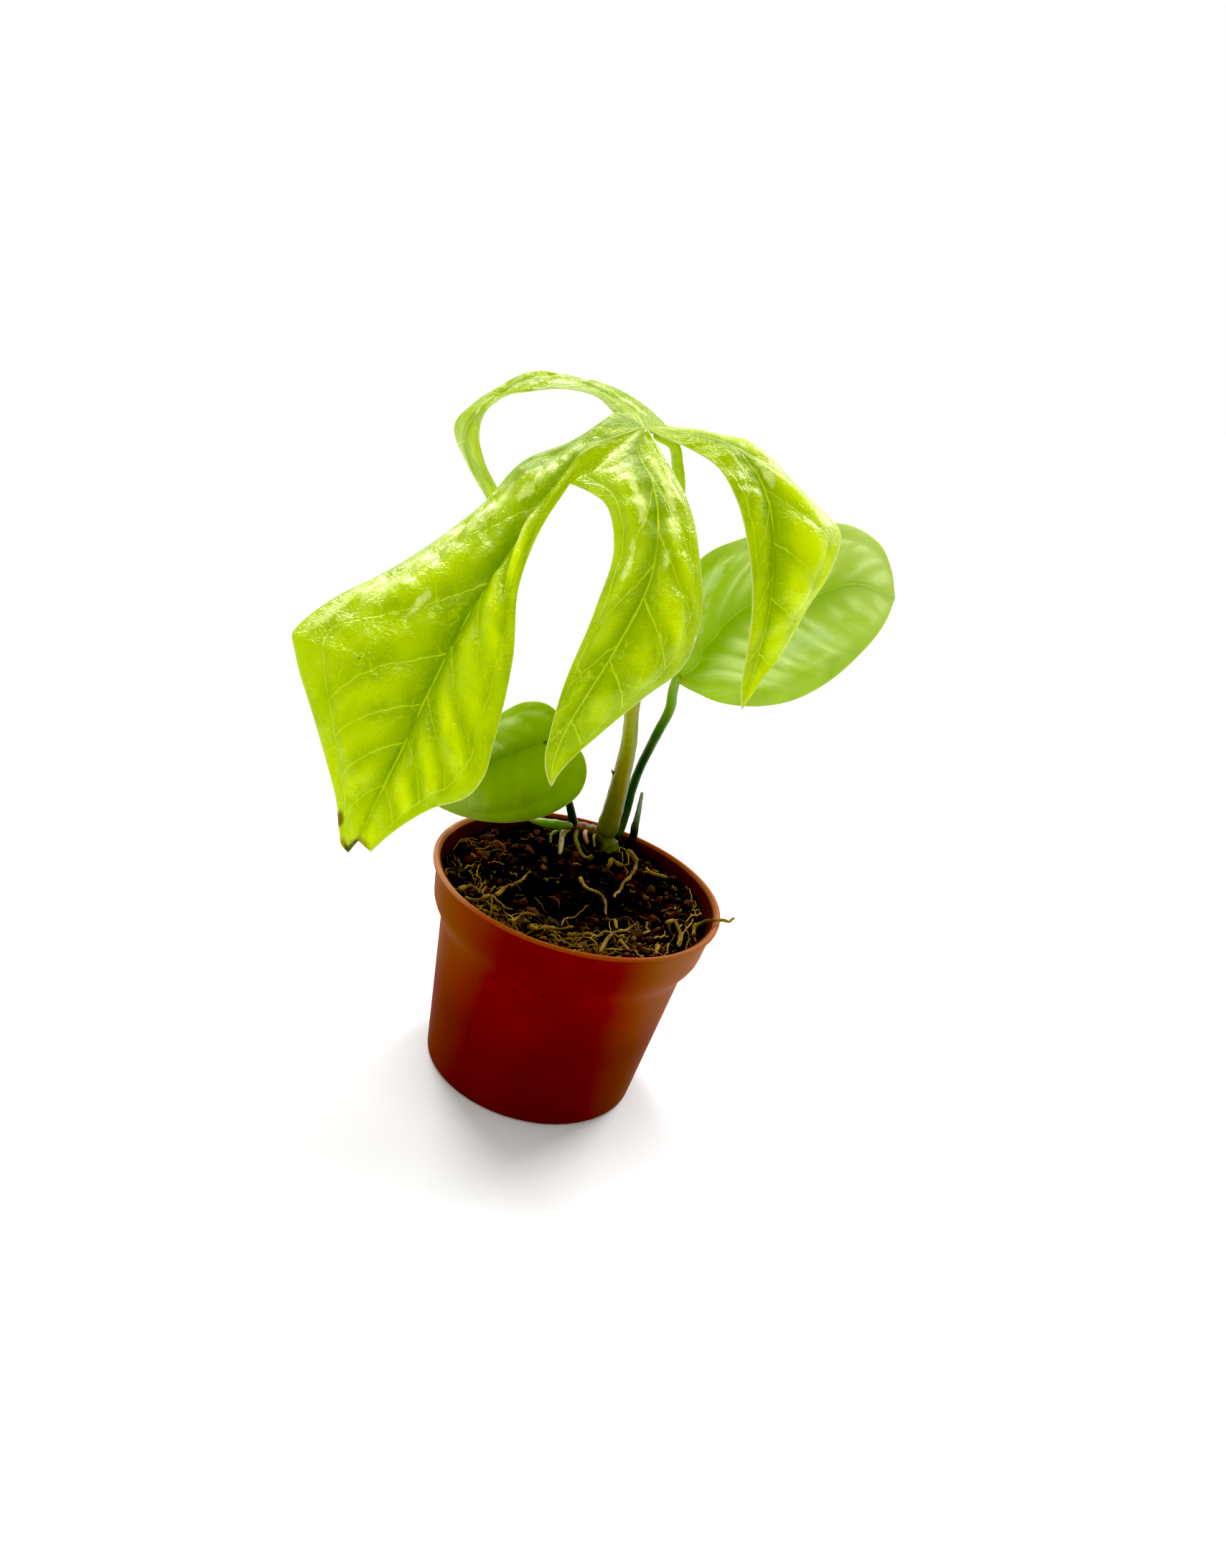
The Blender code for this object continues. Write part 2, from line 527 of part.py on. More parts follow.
def laid_path(soil_tree, points, radius, count):
    """A path over the mix that stays the gap above it, sampled evenly."""
    flat = smooth_path([(x, y, 0.0) for x, y in points], np.linspace(0, 1, count)) * MM
    laid = []
    for x, y, _ in flat:
        heights = []
        for dx, dy in ((0, 0), (radius, 0), (-radius, 0), (0, radius), (0, -radius)):
            above = Vector((x + dx, y + dy, 2 * POT_HEIGHT))
            hit = soil_tree.ray_cast(above, Vector((0, 0, -1)))[0]
            heights.append(hit.z if hit else SOIL_LEVEL)
        laid.append((x, y, max(heights) + radius + GAP))
    laid = np.array(laid)
    laid[1:-1, 2] = np.maximum(laid[1:-1, 2], (laid[:-2, 2] + laid[2:, 2]) / 2)
    return laid


def root(name, path, radius, finish, collection):
    """A root along a path in metres, which thins to its far end."""
    radii = radius * np.linspace(1.0, ROOT_TIP_SHARE, len(path)) * MM
    return tube(name, path, radii, finish, collection, ROOT_RESOLUTION)


def make_surface_roots(soil_tree, finish, collection):
    """The roots that lie on the mix, the forked one and the one over the lip."""
    for i, (points, radius) in enumerate(SURFACE_ROOTS, start=1):
        count = np.clip(2 * len(points), ROOT_FEWEST_POINTS, ROOT_POINTS)
        path = laid_path(soil_tree, points, radius * MM, count)
        root(f"surface_root_{i:02d}", path, radius, finish, collection)
    points, radius = FORKED_ROOT
    path = laid_path(soil_tree, points, radius * MM, ROOT_POINTS)
    fork = root("forked_root", path, radius, finish, collection)
    points, radius = FORKED_ROOT_BRANCH
    path = laid_path(soil_tree, points, radius * MM, ROOT_POINTS)
    branch = root("branch", path, radius, finish, collection)
    union(fork, [branch], finish, collection, "EXACT")
    over_lip = smooth_path(LIP_ROOT, np.linspace(0, 1, ROOT_POINTS)) * MM
    root("lip_root", over_lip, LIP_ROOT_RADIUS, finish, collection)


def make_split_leaf(finish, collection):
    """The big leaf: four lobes in one blade, its petiole and the thin sheath at the petiole's foot."""
    grids = []
    for lobe in SPLIT_LEAF_LOBES:
        left, vein, right = lobe_rows(lobe)
        grids.append(arched_grid(left, vein, right, lobe["rise"]))
    leaf = blade("split_leaf", grids, finish, collection)
    petiole = stalk("petiole", MAIN_PETIOLE, MAIN_PETIOLE_RADII, PETIOLE_POINTS, finish, collection)
    fractions = np.linspace(0, 1, SHEATH_ROWS)
    outer = smooth_path(SHEATH_OUTER, fractions)
    inner = smooth_path(SHEATH_INNER, fractions)
    wing_grid = np.stack([outer, (outer + inner) / 2, inner], axis=1) * MM
    wing = blade("sheath", [wing_grid], finish, collection)
    union(leaf, [petiole, wing], finish, collection, "MANIFOLD")


def make_entire_leaf(name, shape, petiole_points, petiole_radii, finish, collection):
    """A leaf without lobes and its petiole, in one body."""
    left, vein, right = basal_rows(shape)
    leaf = blade(name, [arched_grid(left, vein, right, shape["rise"])], finish, collection)
    petiole = stalk(name + "_petiole", petiole_points, petiole_radii, STALK_POINTS, finish, collection)
    union(leaf, [petiole], finish, collection, "MANIFOLD")


def make_stem(finish, collection, cutters):
    """The creeping stem, swollen at its nodes, with its aerial roots and a seat for each petiole's foot."""
    points, radii = stalk_path(MAIN_STEM, MAIN_STEM_RADII, STEM_RINGS)
    radii = radii * (1 + STEM_NODE_SWELL * (np.arange(STEM_RINGS) % STEM_NODE_EVERY == 1))
    stem = tube("main_stem", points, radii, finish, collection, STALK_RESOLUTION)
    roots = []
    for i, (centres, radius) in enumerate(AERIAL_ROOTS, start=1):
        widths = [radius, AERIAL_ROOT_TIP_SHARE * radius]
        roots.append(stalk(f"aerial_root_{i}", centres, widths, AERIAL_ROOT_POINTS, finish, collection))
    stem = union(stem, roots, finish, collection, "MANIFOLD")
    feet = {
        "main_seat": (MAIN_PETIOLE, MAIN_PETIOLE_RADII),
        "oval_seat": (OVAL_PETIOLE, OVAL_PETIOLE_RADII),
        "heart_seat": (HEART_PETIOLE, HEART_PETIOLE_RADII),
    }
    seats = []
    for name, (centres, widths) in feet.items():
        foot, foot_widths = centres[-SEAT_POINTS:], widths[-SEAT_POINTS:]
        seats.append(stalk_hole(name, foot, foot_widths, 2 * SEAT_POINTS, cutters))
    cut(stem, seats)


def cut_holes_in_soil(soil, cutters):
    """Plain holes in the mix round what goes down into it."""
    stem_widths = [radius * (1 + STEM_NODE_SWELL) for radius in MAIN_STEM_RADII]
    holes = [
        stalk_hole("stem_hole", MAIN_STEM, stem_widths, STEM_RINGS, cutters),
        stalk_hole("stub_hole", DRIED_STUB, DRIED_STUB_RADII, SHORT_STALK_POINTS, cutters),
        stalk_hole("bud_hole", BUD_SHEATH, BUD_SHEATH_RADII, SHORT_STALK_POINTS, cutters),
    ]
    for i, (centres, radius) in enumerate(AERIAL_ROOTS, start=1):
        widths = [radius, AERIAL_ROOT_TIP_SHARE * radius]
        holes.append(stalk_hole(f"aerial_root_hole_{i}", centres, widths, AERIAL_ROOT_POINTS, cutters))
    cut(soil, holes)


def main():
    clear_scene()
    parts = new_collection(OBJECT_NAME)
    cutters = new_collection("cutters")
    plastic = material("red_brown_plastic", (0.30, 0.045, 0.02), 0.45)
    mix = material("potting_mix", (0.035, 0.018, 0.010), 0.95)
    lime = material("lime_leaf", (0.42, 0.56, 0.02), 0.35)
    green = material("green_leaf", (0.20, 0.42, 0.04), 0.45)
    dark_green = material("dark_green_leaf", (0.12, 0.32, 0.03), 0.45)
    bark = material("stem_bark", (0.16, 0.13, 0.03), 0.7)
    dry = material("dried_sheath", (0.05, 0.05, 0.03), 0.85)
    ochre = material("ochre_root", (0.36, 0.20, 0.06), 0.8)
    make_pot(plastic, parts, cutters)
    soil = make_soil(mix, parts)
    soil_tree = BVHTree.FromPolygons(
        [vertex.co for vertex in soil.data.vertices], [face.vertices for face in soil.data.polygons]
    )
    make_stem(bark, parts, cutters)
    make_split_leaf(lime, parts)
    make_entire_leaf("oval_leaf", OVAL_BLADE, OVAL_PETIOLE, OVAL_PETIOLE_RADII, green, parts)
    make_entire_leaf("heart_leaf", HEART_BLADE, HEART_PETIOLE, HEART_PETIOLE_RADII, dark_green, parts)
    stalk("dried_stub", DRIED_STUB, DRIED_STUB_RADII, SHORT_STALK_POINTS, dry, parts)
    stalk("bud_sheath", BUD_SHEATH, BUD_SHEATH_RADII, SHORT_STALK_POINTS, green, parts)
    make_surface_roots(soil_tree, ochre, parts)
    cut_holes_in_soil(soil, cutters)


main()
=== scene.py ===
"""The looks of a young silver amydrium in a small nursery pot.

Metres, +Z up, with the origin in the middle of the pot's flat foot and the front at -Y. Leaves and
stalks are drawn by points in millimetres. Each sub-assembly is a class with its sizes as fields, methods
that build its surfaces and one that dresses them.
"""

import logging
import math
from collections.abc import Callable, Sequence
from dataclasses import dataclass, field
from enum import Enum
from typing import Union

import bpy
import numpy as np
from mathutils import Matrix


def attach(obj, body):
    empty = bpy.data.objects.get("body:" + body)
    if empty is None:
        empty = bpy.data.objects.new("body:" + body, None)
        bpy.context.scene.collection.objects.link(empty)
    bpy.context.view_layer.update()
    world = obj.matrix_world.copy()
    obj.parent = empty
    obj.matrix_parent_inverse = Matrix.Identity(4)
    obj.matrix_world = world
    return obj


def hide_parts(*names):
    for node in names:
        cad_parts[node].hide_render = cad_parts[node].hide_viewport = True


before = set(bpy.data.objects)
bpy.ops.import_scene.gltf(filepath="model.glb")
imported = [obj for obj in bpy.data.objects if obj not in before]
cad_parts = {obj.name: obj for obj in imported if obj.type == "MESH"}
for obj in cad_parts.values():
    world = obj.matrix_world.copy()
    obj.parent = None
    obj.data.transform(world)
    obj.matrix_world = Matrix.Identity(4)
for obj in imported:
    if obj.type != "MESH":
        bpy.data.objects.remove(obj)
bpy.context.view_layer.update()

Array = np.ndarray
Point = tuple[float, float, float]
Flat = tuple[float, float]
Colour = tuple[float, float, float]
Material = bpy.types.Material

LOG = logging.getLogger("amydrium")
MM = 0.001
FULL_TURN = 2 * math.pi
UP = np.array([0.0, 0.0, 1.0])
WHITE = (1.0, 1.0, 1.0)
MOST_TRIANGLES = 200_000
UNEVEN_SHARE = 0.37
CAP_TURNS = np.radians([30.0, 60.0, 90.0])
# How far out the vein that joins the ends of the side veins runs, as a share
LOOP_SHARE = 0.785


def linear(red: int, green: int, blue: int) -> Colour:
    """Turns a screen colour into the linear colour that a shader takes.

    Args:
        red: Its red, of 0 to 255.
        green: Its green.
        blue: Its blue.

    Returns:
        The linear colour: a share below 0.04045 over 12.92, else ((share + 0.055) / 1.055) to the power 2.4.
    """
    shares = (red / 255, green / 255, blue / 255)
    return tuple(s / 12.92 if s <= 0.04045 else ((s + 0.055) / 1.055) ** 2.4 for s in shares)


# Paths, surfaces and noise


def smooth_path(points: Sequence[Point], fractions: Array) -> Array:
    """Places along a smooth curve through the points.

    Between two points the curve is the cubic that meets both with the slopes found there, each slope
    being the difference of the neighbours over their distance along the path.

    Args:
        points: The points that the curve goes through.
        fractions: Where to read the curve, as shares of its length.

    Returns:
        One place for each fraction.
    """
    points = np.asarray(points, float)
    steps = np.linalg.norm(np.diff(points, axis=0), axis=1)
    at = np.concatenate([[0.0], np.cumsum(steps)]) / steps.sum()
    if len(points) == 2:
        return points[0] + np.asarray(fractions)[:, None] * (points[1] - points[0])
    slope = np.gradient(points, at, axis=0)
    i = np.clip(np.searchsorted(at, fractions, side="right") - 1, 0, len(at) - 2)
    span = (at[i + 1] - at[i])[:, None]
    t = (fractions - at[i])[:, None] / span
    start = (2 * t**3 - 3 * t**2 + 1) * points[i] + (t**3 - 2 * t**2 + t) * span * slope[i]
    end = (3 * t**2 - 2 * t**3) * points[i + 1] + (t**3 - t**2) * span * slope[i + 1]
    return start + end


def travelled(path: Array) -> Array:
    """How far along a path each of its points is."""
    return np.concatenate([[0.0], np.cumsum(np.linalg.norm(np.diff(path, axis=0), axis=1))])


def graded(stops: Sequence[float] | Sequence[Colour], share: Array) -> Array:
    """Reads numbers or colours that stand at even steps.

    Args:
        stops: The numbers or colours.
        share: How far along each reading is.

    Returns:
        The readings, in straight lines between the stops.
    """
    table = np.array(stops, float)
    at = np.linspace(0, 1, len(table))
    if table.ndim == 1:
        return np.interp(share, at, table)
    return np.stack([np.interp(share, at, channel) for channel in table.T], -1)


def circle(count: int) -> tuple[Array, Array]:
    """Even angles round a full turn, and their places (cos a, sin a, 0)."""
    angle = np.linspace(0, FULL_TURN, count, endpoint=False)
    return angle, np.stack([np.cos(angle), np.sin(angle), np.zeros_like(angle)], -1)


def unit(vectors: Array) -> Array:
    """The vectors at length 1, where those of no length stay as they are."""
    length = np.linalg.norm(vectors, axis=-1, keepdims=True)
    return vectors / np.where(length == 0, 1, length)


def smooth_step(values: Array, low: float, high: float) -> Array:
    """Goes from 0 at low to 1 at high as 3 x squared minus 2 x cubed, and stays level outside."""
    x = np.clip((values - low) / (high - low), 0, 1)
    return x * x * (3 - 2 * x)


def bell(values: Array, reach: float | Array) -> Array:
    """exp(-(value / reach) squared)."""
    return np.exp(-((values / reach) ** 2))


def waves(places: Array, size: float, seed: int, count: int = 24) -> Array:
    """Smooth noise, mostly between -1 and 1.

    It is the sum of plane waves with random directions and phases and with lengths near the size, over
    the root of their number.

    Args:
        places: Where to read the noise.
        size: The usual length of a wave, in the unit of the places.
        seed: Picks the draw.
        count: How many waves are summed.

    Returns:
        One number for each place.
    """
    draw = np.random.default_rng(seed)
    directions = unit(draw.normal(size=(count, 3)))
    lengths = size * draw.uniform(0.7, 1.6, count)
    phases = draw.uniform(0, FULL_TURN, count)
    turns = places @ (directions / lengths[:, None]).T * FULL_TURN
    return np.sin(turns + phases).sum(axis=-1) / math.sqrt(count)


@dataclass
class Surface:
    """Triangles between points, which may carry named values.

    Attributes:
        points: Places in metres, one row a point.
        triangles: The corners of each triangle, counter-clockwise seen from outside.
        values: Three numbers a point under each name.
    """

    points: Array
    triangles: Array
    values: dict[str, Array] = field(default_factory=dict)

    @staticmethod
    def from_grid(grid: Array, values: dict[str, Array] | None = None, ring: bool = False) -> "Surface":
        """A surface from a grid, facing where the row step crossed with the column step points.

        Args:
            grid: Places, rows by columns by 3.
            values: Grids of values of the same shape.
            ring: Whether the last column joins the first.

        Returns:
            The surface, with the diagonals of neighbouring cells crossed.
        """
        rows, columns = grid.shape[:2]
        index = np.arange(rows * columns).reshape(rows, columns)
        if ring:
            index = np.hstack([index, index[:, :1]])
        a, b = index[:-1, :-1], index[:-1, 1:]
        d, c = index[1:, :-1], index[1:, 1:]
        odd = (np.add.outer(np.arange(a.shape[0]), np.arange(a.shape[1])) % 2).astype(bool)[..., None]
        first = np.where(odd, np.stack([a, d, b], -1), np.stack([a, d, c], -1))
        second = np.where(odd, np.stack([b, d, c], -1), np.stack([a, c, b], -1))
        triangles = np.concatenate([first.reshape(-1, 3), second.reshape(-1, 3)])
        carried = {name: np.asarray(value, float).reshape(-1, 3) for name, value in (values or {}).items()}
        return Surface(grid.reshape(-1, 3), triangles, carried)

    @staticmethod
    def joined(surfaces: Sequence["Surface"]) -> "Surface":
        """Puts surfaces together.

        Args:
            surfaces: The surfaces.

        Returns:
            All of them as one, with zeros for a value that some of them lack.
        """
        starts = np.cumsum([0] + [len(s.points) for s in surfaces[:-1]])
        values = {
            name: np.concatenate([s.values.get(name, np.zeros_like(s.points)) for s in surfaces])
            for name in sorted({name for s in surfaces for name in s.values})
        }
        points = np.concatenate([s.points for s in surfaces])
        return Surface(points, np.concatenate([s.triangles + n for s, n in zip(surfaces, starts)]), values)

    def welded(self, tolerance: float = 1e-7) -> "Surface":
        """Makes points in one place one, and drops triangles without area.

        Args:
            tolerance: Points are one where their coordinates over it, plus an uneven share, have one floor.

        Returns:
            The welded surface.
        """
        keys = np.floor(self.points / tolerance + UNEVEN_SHARE).astype(np.int64)
        _, first, index = np.unique(keys, axis=0, return_index=True, return_inverse=True)
        triangles = index.reshape(-1)[self.triangles]
        a, b, c = triangles.T
        kept = {name: value[first] for name, value in self.values.items()}
        return Surface(self.points[first], triangles[(a != b) & (b != c) & (c != a)], kept)

    def normals(self) -> Array:
        """The direction out of the surface at each point: the sum of the triangles' cross products there."""
        corner = self.points[self.triangles]
        facing = np.cross(corner[:, 1] - corner[:, 0], corner[:, 2] - corner[:, 0])
        total = np.zeros_like(self.points)
        for k in range(3):
            np.add.at(total, self.triangles[:, k], facing)
        return unit(total)

    def thickened(self, above: Array, below: Array, side_name: str) -> "Surface":
        """A closed wall round this open surface.

        The upper face is each point plus its normal times the thickness above, the lower face the point
        minus its normal times the thickness below, and a strip joins them along the open edges.

        Args:
            above: Thickness above the surface at each point, in metres.
            below: Thickness below it.
            side_name: The value whose third number is 1 on the upper face and -1 on the lower.

        Returns:
            The wall.
        """
        out = self.normals()
        count = len(self.points)
        edges = np.concatenate([self.triangles[:, pair] for pair in ([0, 1], [1, 2], [2, 0])])
        edges = edges.astype(np.int64)
        key, back = edges[:, 0] * count + edges[:, 1], edges[:, 1] * count + edges[:, 0]
        a, b = edges[~np.isin(key, back)].T
        rim = np.concatenate([np.stack([b, a, a + count], -1), np.stack([b, a + count, b + count], -1)])
        values = {name: np.concatenate([value, value]) for name, value in self.values.items()}
        values[side_name][:, 2] = np.repeat([1.0, -1.0], count)
        points = np.concatenate([self.points + out * above[:, None], self.points - out * below[:, None]])
        return Surface(points, np.concatenate([self.triangles, self.triangles[:, ::-1] + count, rim]), values)

    def piece(self, name: str, finish: Material, slot: str, *stands_for: str, sharp: float = 180.0) -> None:
        """Makes the object, in its place, and lets it ride on the plant's one body.

        Args:
            name: The piece's name.
            finish: Its material.
            slot: The record's material slot. It is not used.
            stands_for: The nodes that it replaces.
            sharp: The angle in degrees from which an edge between triangles is drawn sharp.
        """
        mesh = bpy.data.meshes.new(name)
        mesh.vertices.add(len(self.points))
        mesh.vertices.foreach_set("co", self.points.astype(np.float32).ravel())
        mesh.loops.add(self.triangles.size)
        mesh.loops.foreach_set("vertex_index", self.triangles.astype(np.int32).ravel())
        mesh.polygons.add(len(self.triangles))
        mesh.polygons.foreach_set("loop_start", np.arange(0, self.triangles.size, 3, dtype=np.int32))
        mesh.update(calc_edges=True)
        for value_name, value in self.values.items():
            carried = mesh.attributes.new(value_name, "FLOAT_VECTOR", "POINT")
            carried.data.foreach_set("vector", value.astype(np.float32).ravel())
        mesh.shade_smooth()
        if sharp < 180.0:
            mesh.set_sharp_from_angle(angle=math.radians(sharp))
        mesh.materials.append(finish)
        made = bpy.data.objects.new(name, mesh)
        bpy.context.scene.collection.objects.link(made)
        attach(made, "root")
        if stands_for:
            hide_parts(*stands_for)
        if len(self.triangles) > MOST_TRIANGLES:
            raise ValueError(f"{name} has {len(self.triangles)} triangles")
        LOG.info("%s: %d triangles", name, len(self.triangles))


def capped(rows: Array) -> Array:
    """Repeats the first and the last row for the rings that round a stalk's ends."""
    extra = len(CAP_TURNS)
    return np.vstack([np.repeat(rows[:1], extra, 0), rows, np.repeat(rows[-1:], extra, 0)])


def tube(path: Array, radii: Array, sides: int, tint: Array | Colour, relief: Array | None = None) -> Surface:
    """A round stalk with rounded ends.

    Ring i is the path's point i plus its radius times (cos a, sin a) along two directions square to the
    path. The first is the path's step crossed with the direction in which the path varies least, the
    second is the first crossed with the step. Past each end, three rings follow a quarter circle.

    Args:
        path: Centre points in metres.
        radii: The radius at each.
        sides: Points round a ring.
        tint: A colour for the whole stalk or one for each centre point.
        relief: A factor on the radius, points by sides.

    Returns:
        The surface, with "stalk" holding cos a, sin a and the millimetres along, and "tint" the colour.
    """
    step = unit(np.gradient(path, axis=0))
    flattest = np.linalg.svd(path - path.mean(axis=0), full_matrices=False)[2][-1]
    before = CAP_TURNS[::-1]
    head = path[0] - step[0] * radii[0] * np.sin(before)[:, None]
    tail = path[-1] + step[-1] * radii[-1] * np.sin(CAP_TURNS)[:, None]
    centre = np.vstack([head, path, tail])
    width = np.concatenate([radii[0] * np.cos(before), radii, radii[-1] * np.cos(CAP_TURNS)])
    width = np.where(width < 1e-9, 0, width)[:, None]
    width = width * (np.ones((1, sides)) if relief is None else capped(relief))
    steps = capped(step)
    first = unit(np.cross(steps, flattest))
    second = np.cross(first, steps)
    level = circle(sides)[1]
    ring = level[None, :, :1] * first[:, None] + level[None, :, 1:2] * second[:, None]
    grid = centre[:, None] + width[..., None] * ring
    stalk = level[None] + (travelled(centre) / MM)[:, None, None] * UP
    colour = np.asarray(tint, float)
    if colour.ndim == 2:
        colour = capped(colour)[:, None]
    values = {"stalk": stalk, "tint": np.broadcast_to(colour, grid.shape)}
    return Surface.from_grid(grid, values, ring=True).welded()


def turned(profile: Sequence[Flat], angles: Array) -> Array:
    """A grid: a profile of (radius, height) carried round the upright axis, (r cos a, r sin a, z)."""
    radius, height = np.asarray(profile, float).T[..., None]
    return np.stack([radius * np.cos(angles), radius * np.sin(angles), height * np.ones_like(angles)], -1)


def scattered(shape: Surface, places: Array, sizes: Array, tints: Array, seed: int) -> Surface:
    """Copies of a small shape, each stretched, turned at random and roughened.

    A copy's point is its place plus a random turn applied to the shape's point times the copy's three
    sizes times a random factor near 1.

    Args:
        shape: The small shape, about 1 across.
        places: The middle of each copy.
        sizes: Three sizes for each copy, in metres.
        tints: A colour for each copy.
        seed: Picks the draw.

    Returns:
        All the copies as one surface.
    """
    draw = np.random.default_rng(seed)
    count, corners = len(places), len(shape.points)
    turn = np.linalg.qr(draw.normal(size=(count, 3, 3)))[0]
    turn *= np.sign(np.linalg.det(turn))[:, None, None]
    rough = draw.uniform(0.75, 1.25, (count, corners, 1))
    points = np.einsum("nij,nkj->nki", turn, shape.points[None] * sizes[:, None] * rough) + places[:, None]
    triangles = shape.triangles[None] + corners * np.arange(count)[:, None, None]
    values = {"tint": np.repeat(tints, corners, axis=0)}
    return Surface(points.reshape(-1, 3), triangles.reshape(-1, 3), values)


def finer(shape: Surface) -> Surface:
    """Cuts each triangle of a shape 1 across in four: half of unit(a + b) stands midway from a to b.

    Args:
        shape: The shape.

    Returns:
        The finer shape.
    """
    a, b, c = (shape.points[shape.triangles[:, k]] for k in range(3))
    ab, bc, ca = unit(a + b) / 2, unit(b + c) / 2, unit(c + a) / 2
    corners = np.stack([a, ab, ca, ab, b, bc, ca, bc, c, ab, bc, ca], 1).reshape(-1, 3)
    return Surface(corners, np.arange(len(corners)).reshape(-1, 3)).welded()


def lump() -> Surface:
    """A solid of 20 equal triangles: five points each at a level of plus and minus 1 / root 5, and
    two poles.
    """
    level = 1 / math.sqrt(5)
    turns = np.arange(5) * FULL_TURN / 5
    rings = [
        np.stack([2 * level * np.cos(angle), 2 * level * np.sin(angle), np.full(5, height)], -1)
        for angle, height in ((turns, level), (turns + math.pi / 5, -level))
    ]
    i = np.arange(5)
    j = (i + 1) % 5
    top, bottom = np.full(5, 10), np.full(5, 11)
    faces = [(top, i, j), (i, i + 5, j), (j, i + 5, j + 5), (bottom, j + 5, i + 5)]
    return Surface(np.vstack([*rings, UP, -UP]) / 2, np.concatenate([np.stack(face, -1) for face in faces]))


# Shader networks

Number = Union[float, "Shade"]
Tone = Union[Colour, "Shade"]


def math_node(operation: str, backwards: bool = False) -> Callable[..., "Shade"]:
    """A method of a shade that adds a Math node.

    Args:
        operation: What the node does with the shade and the other numbers.
        backwards: Whether it takes them from the last to the first.

    Returns:
        The method.
    """

    def method(shade: "Shade", *others: Number) -> "Shade":
        """The node's result on the shade and the others."""
        numbers = (*others, shade) if backwards else (shade, *others)
        return shade.graph.node("ShaderNodeMath", {"operation": operation}, dict(enumerate(numbers)))

    return method


class Shade:
    """A shader socket, whose operators add Math nodes."""

    def __init__(self, graph: "Graph", socket: bpy.types.NodeSocket) -> None:
        """Keeps the network and the socket."""
        self.graph = graph
        self.socket = socket

    __add__ = __radd__ = math_node("ADD")
    __mul__ = __rmul__ = math_node("MULTIPLY")
    __sub__ = math_node("SUBTRACT")
    __rsub__ = math_node("SUBTRACT", backwards=True)
    __truediv__ = math_node("DIVIDE")
    __pow__ = math_node("POWER")
    __abs__ = math_node("ABSOLUTE")
    at_least = math_node("MAXIMUM")
    fraction = math_node("FRACT")
    sign = math_node("SIGN")

    def rise(self, low: float, high: float, start: float = 0.0, end: float = 1.0) -> "Shade":
        """The start up to low, the end from high, and a smooth step between."""
        settings = {"interpolation_type": "SMOOTHSTEP"}
        return self.graph.node("ShaderNodeMapRange", settings, {0: self, 1: low, 2: high, 3: start, 4: end})

    def fall(self, low: float, high: float) -> "Shade":
        """1 up to low, 0 from high, and a smooth step between."""
        return self.rise(low, high, 1.0, 0.0)


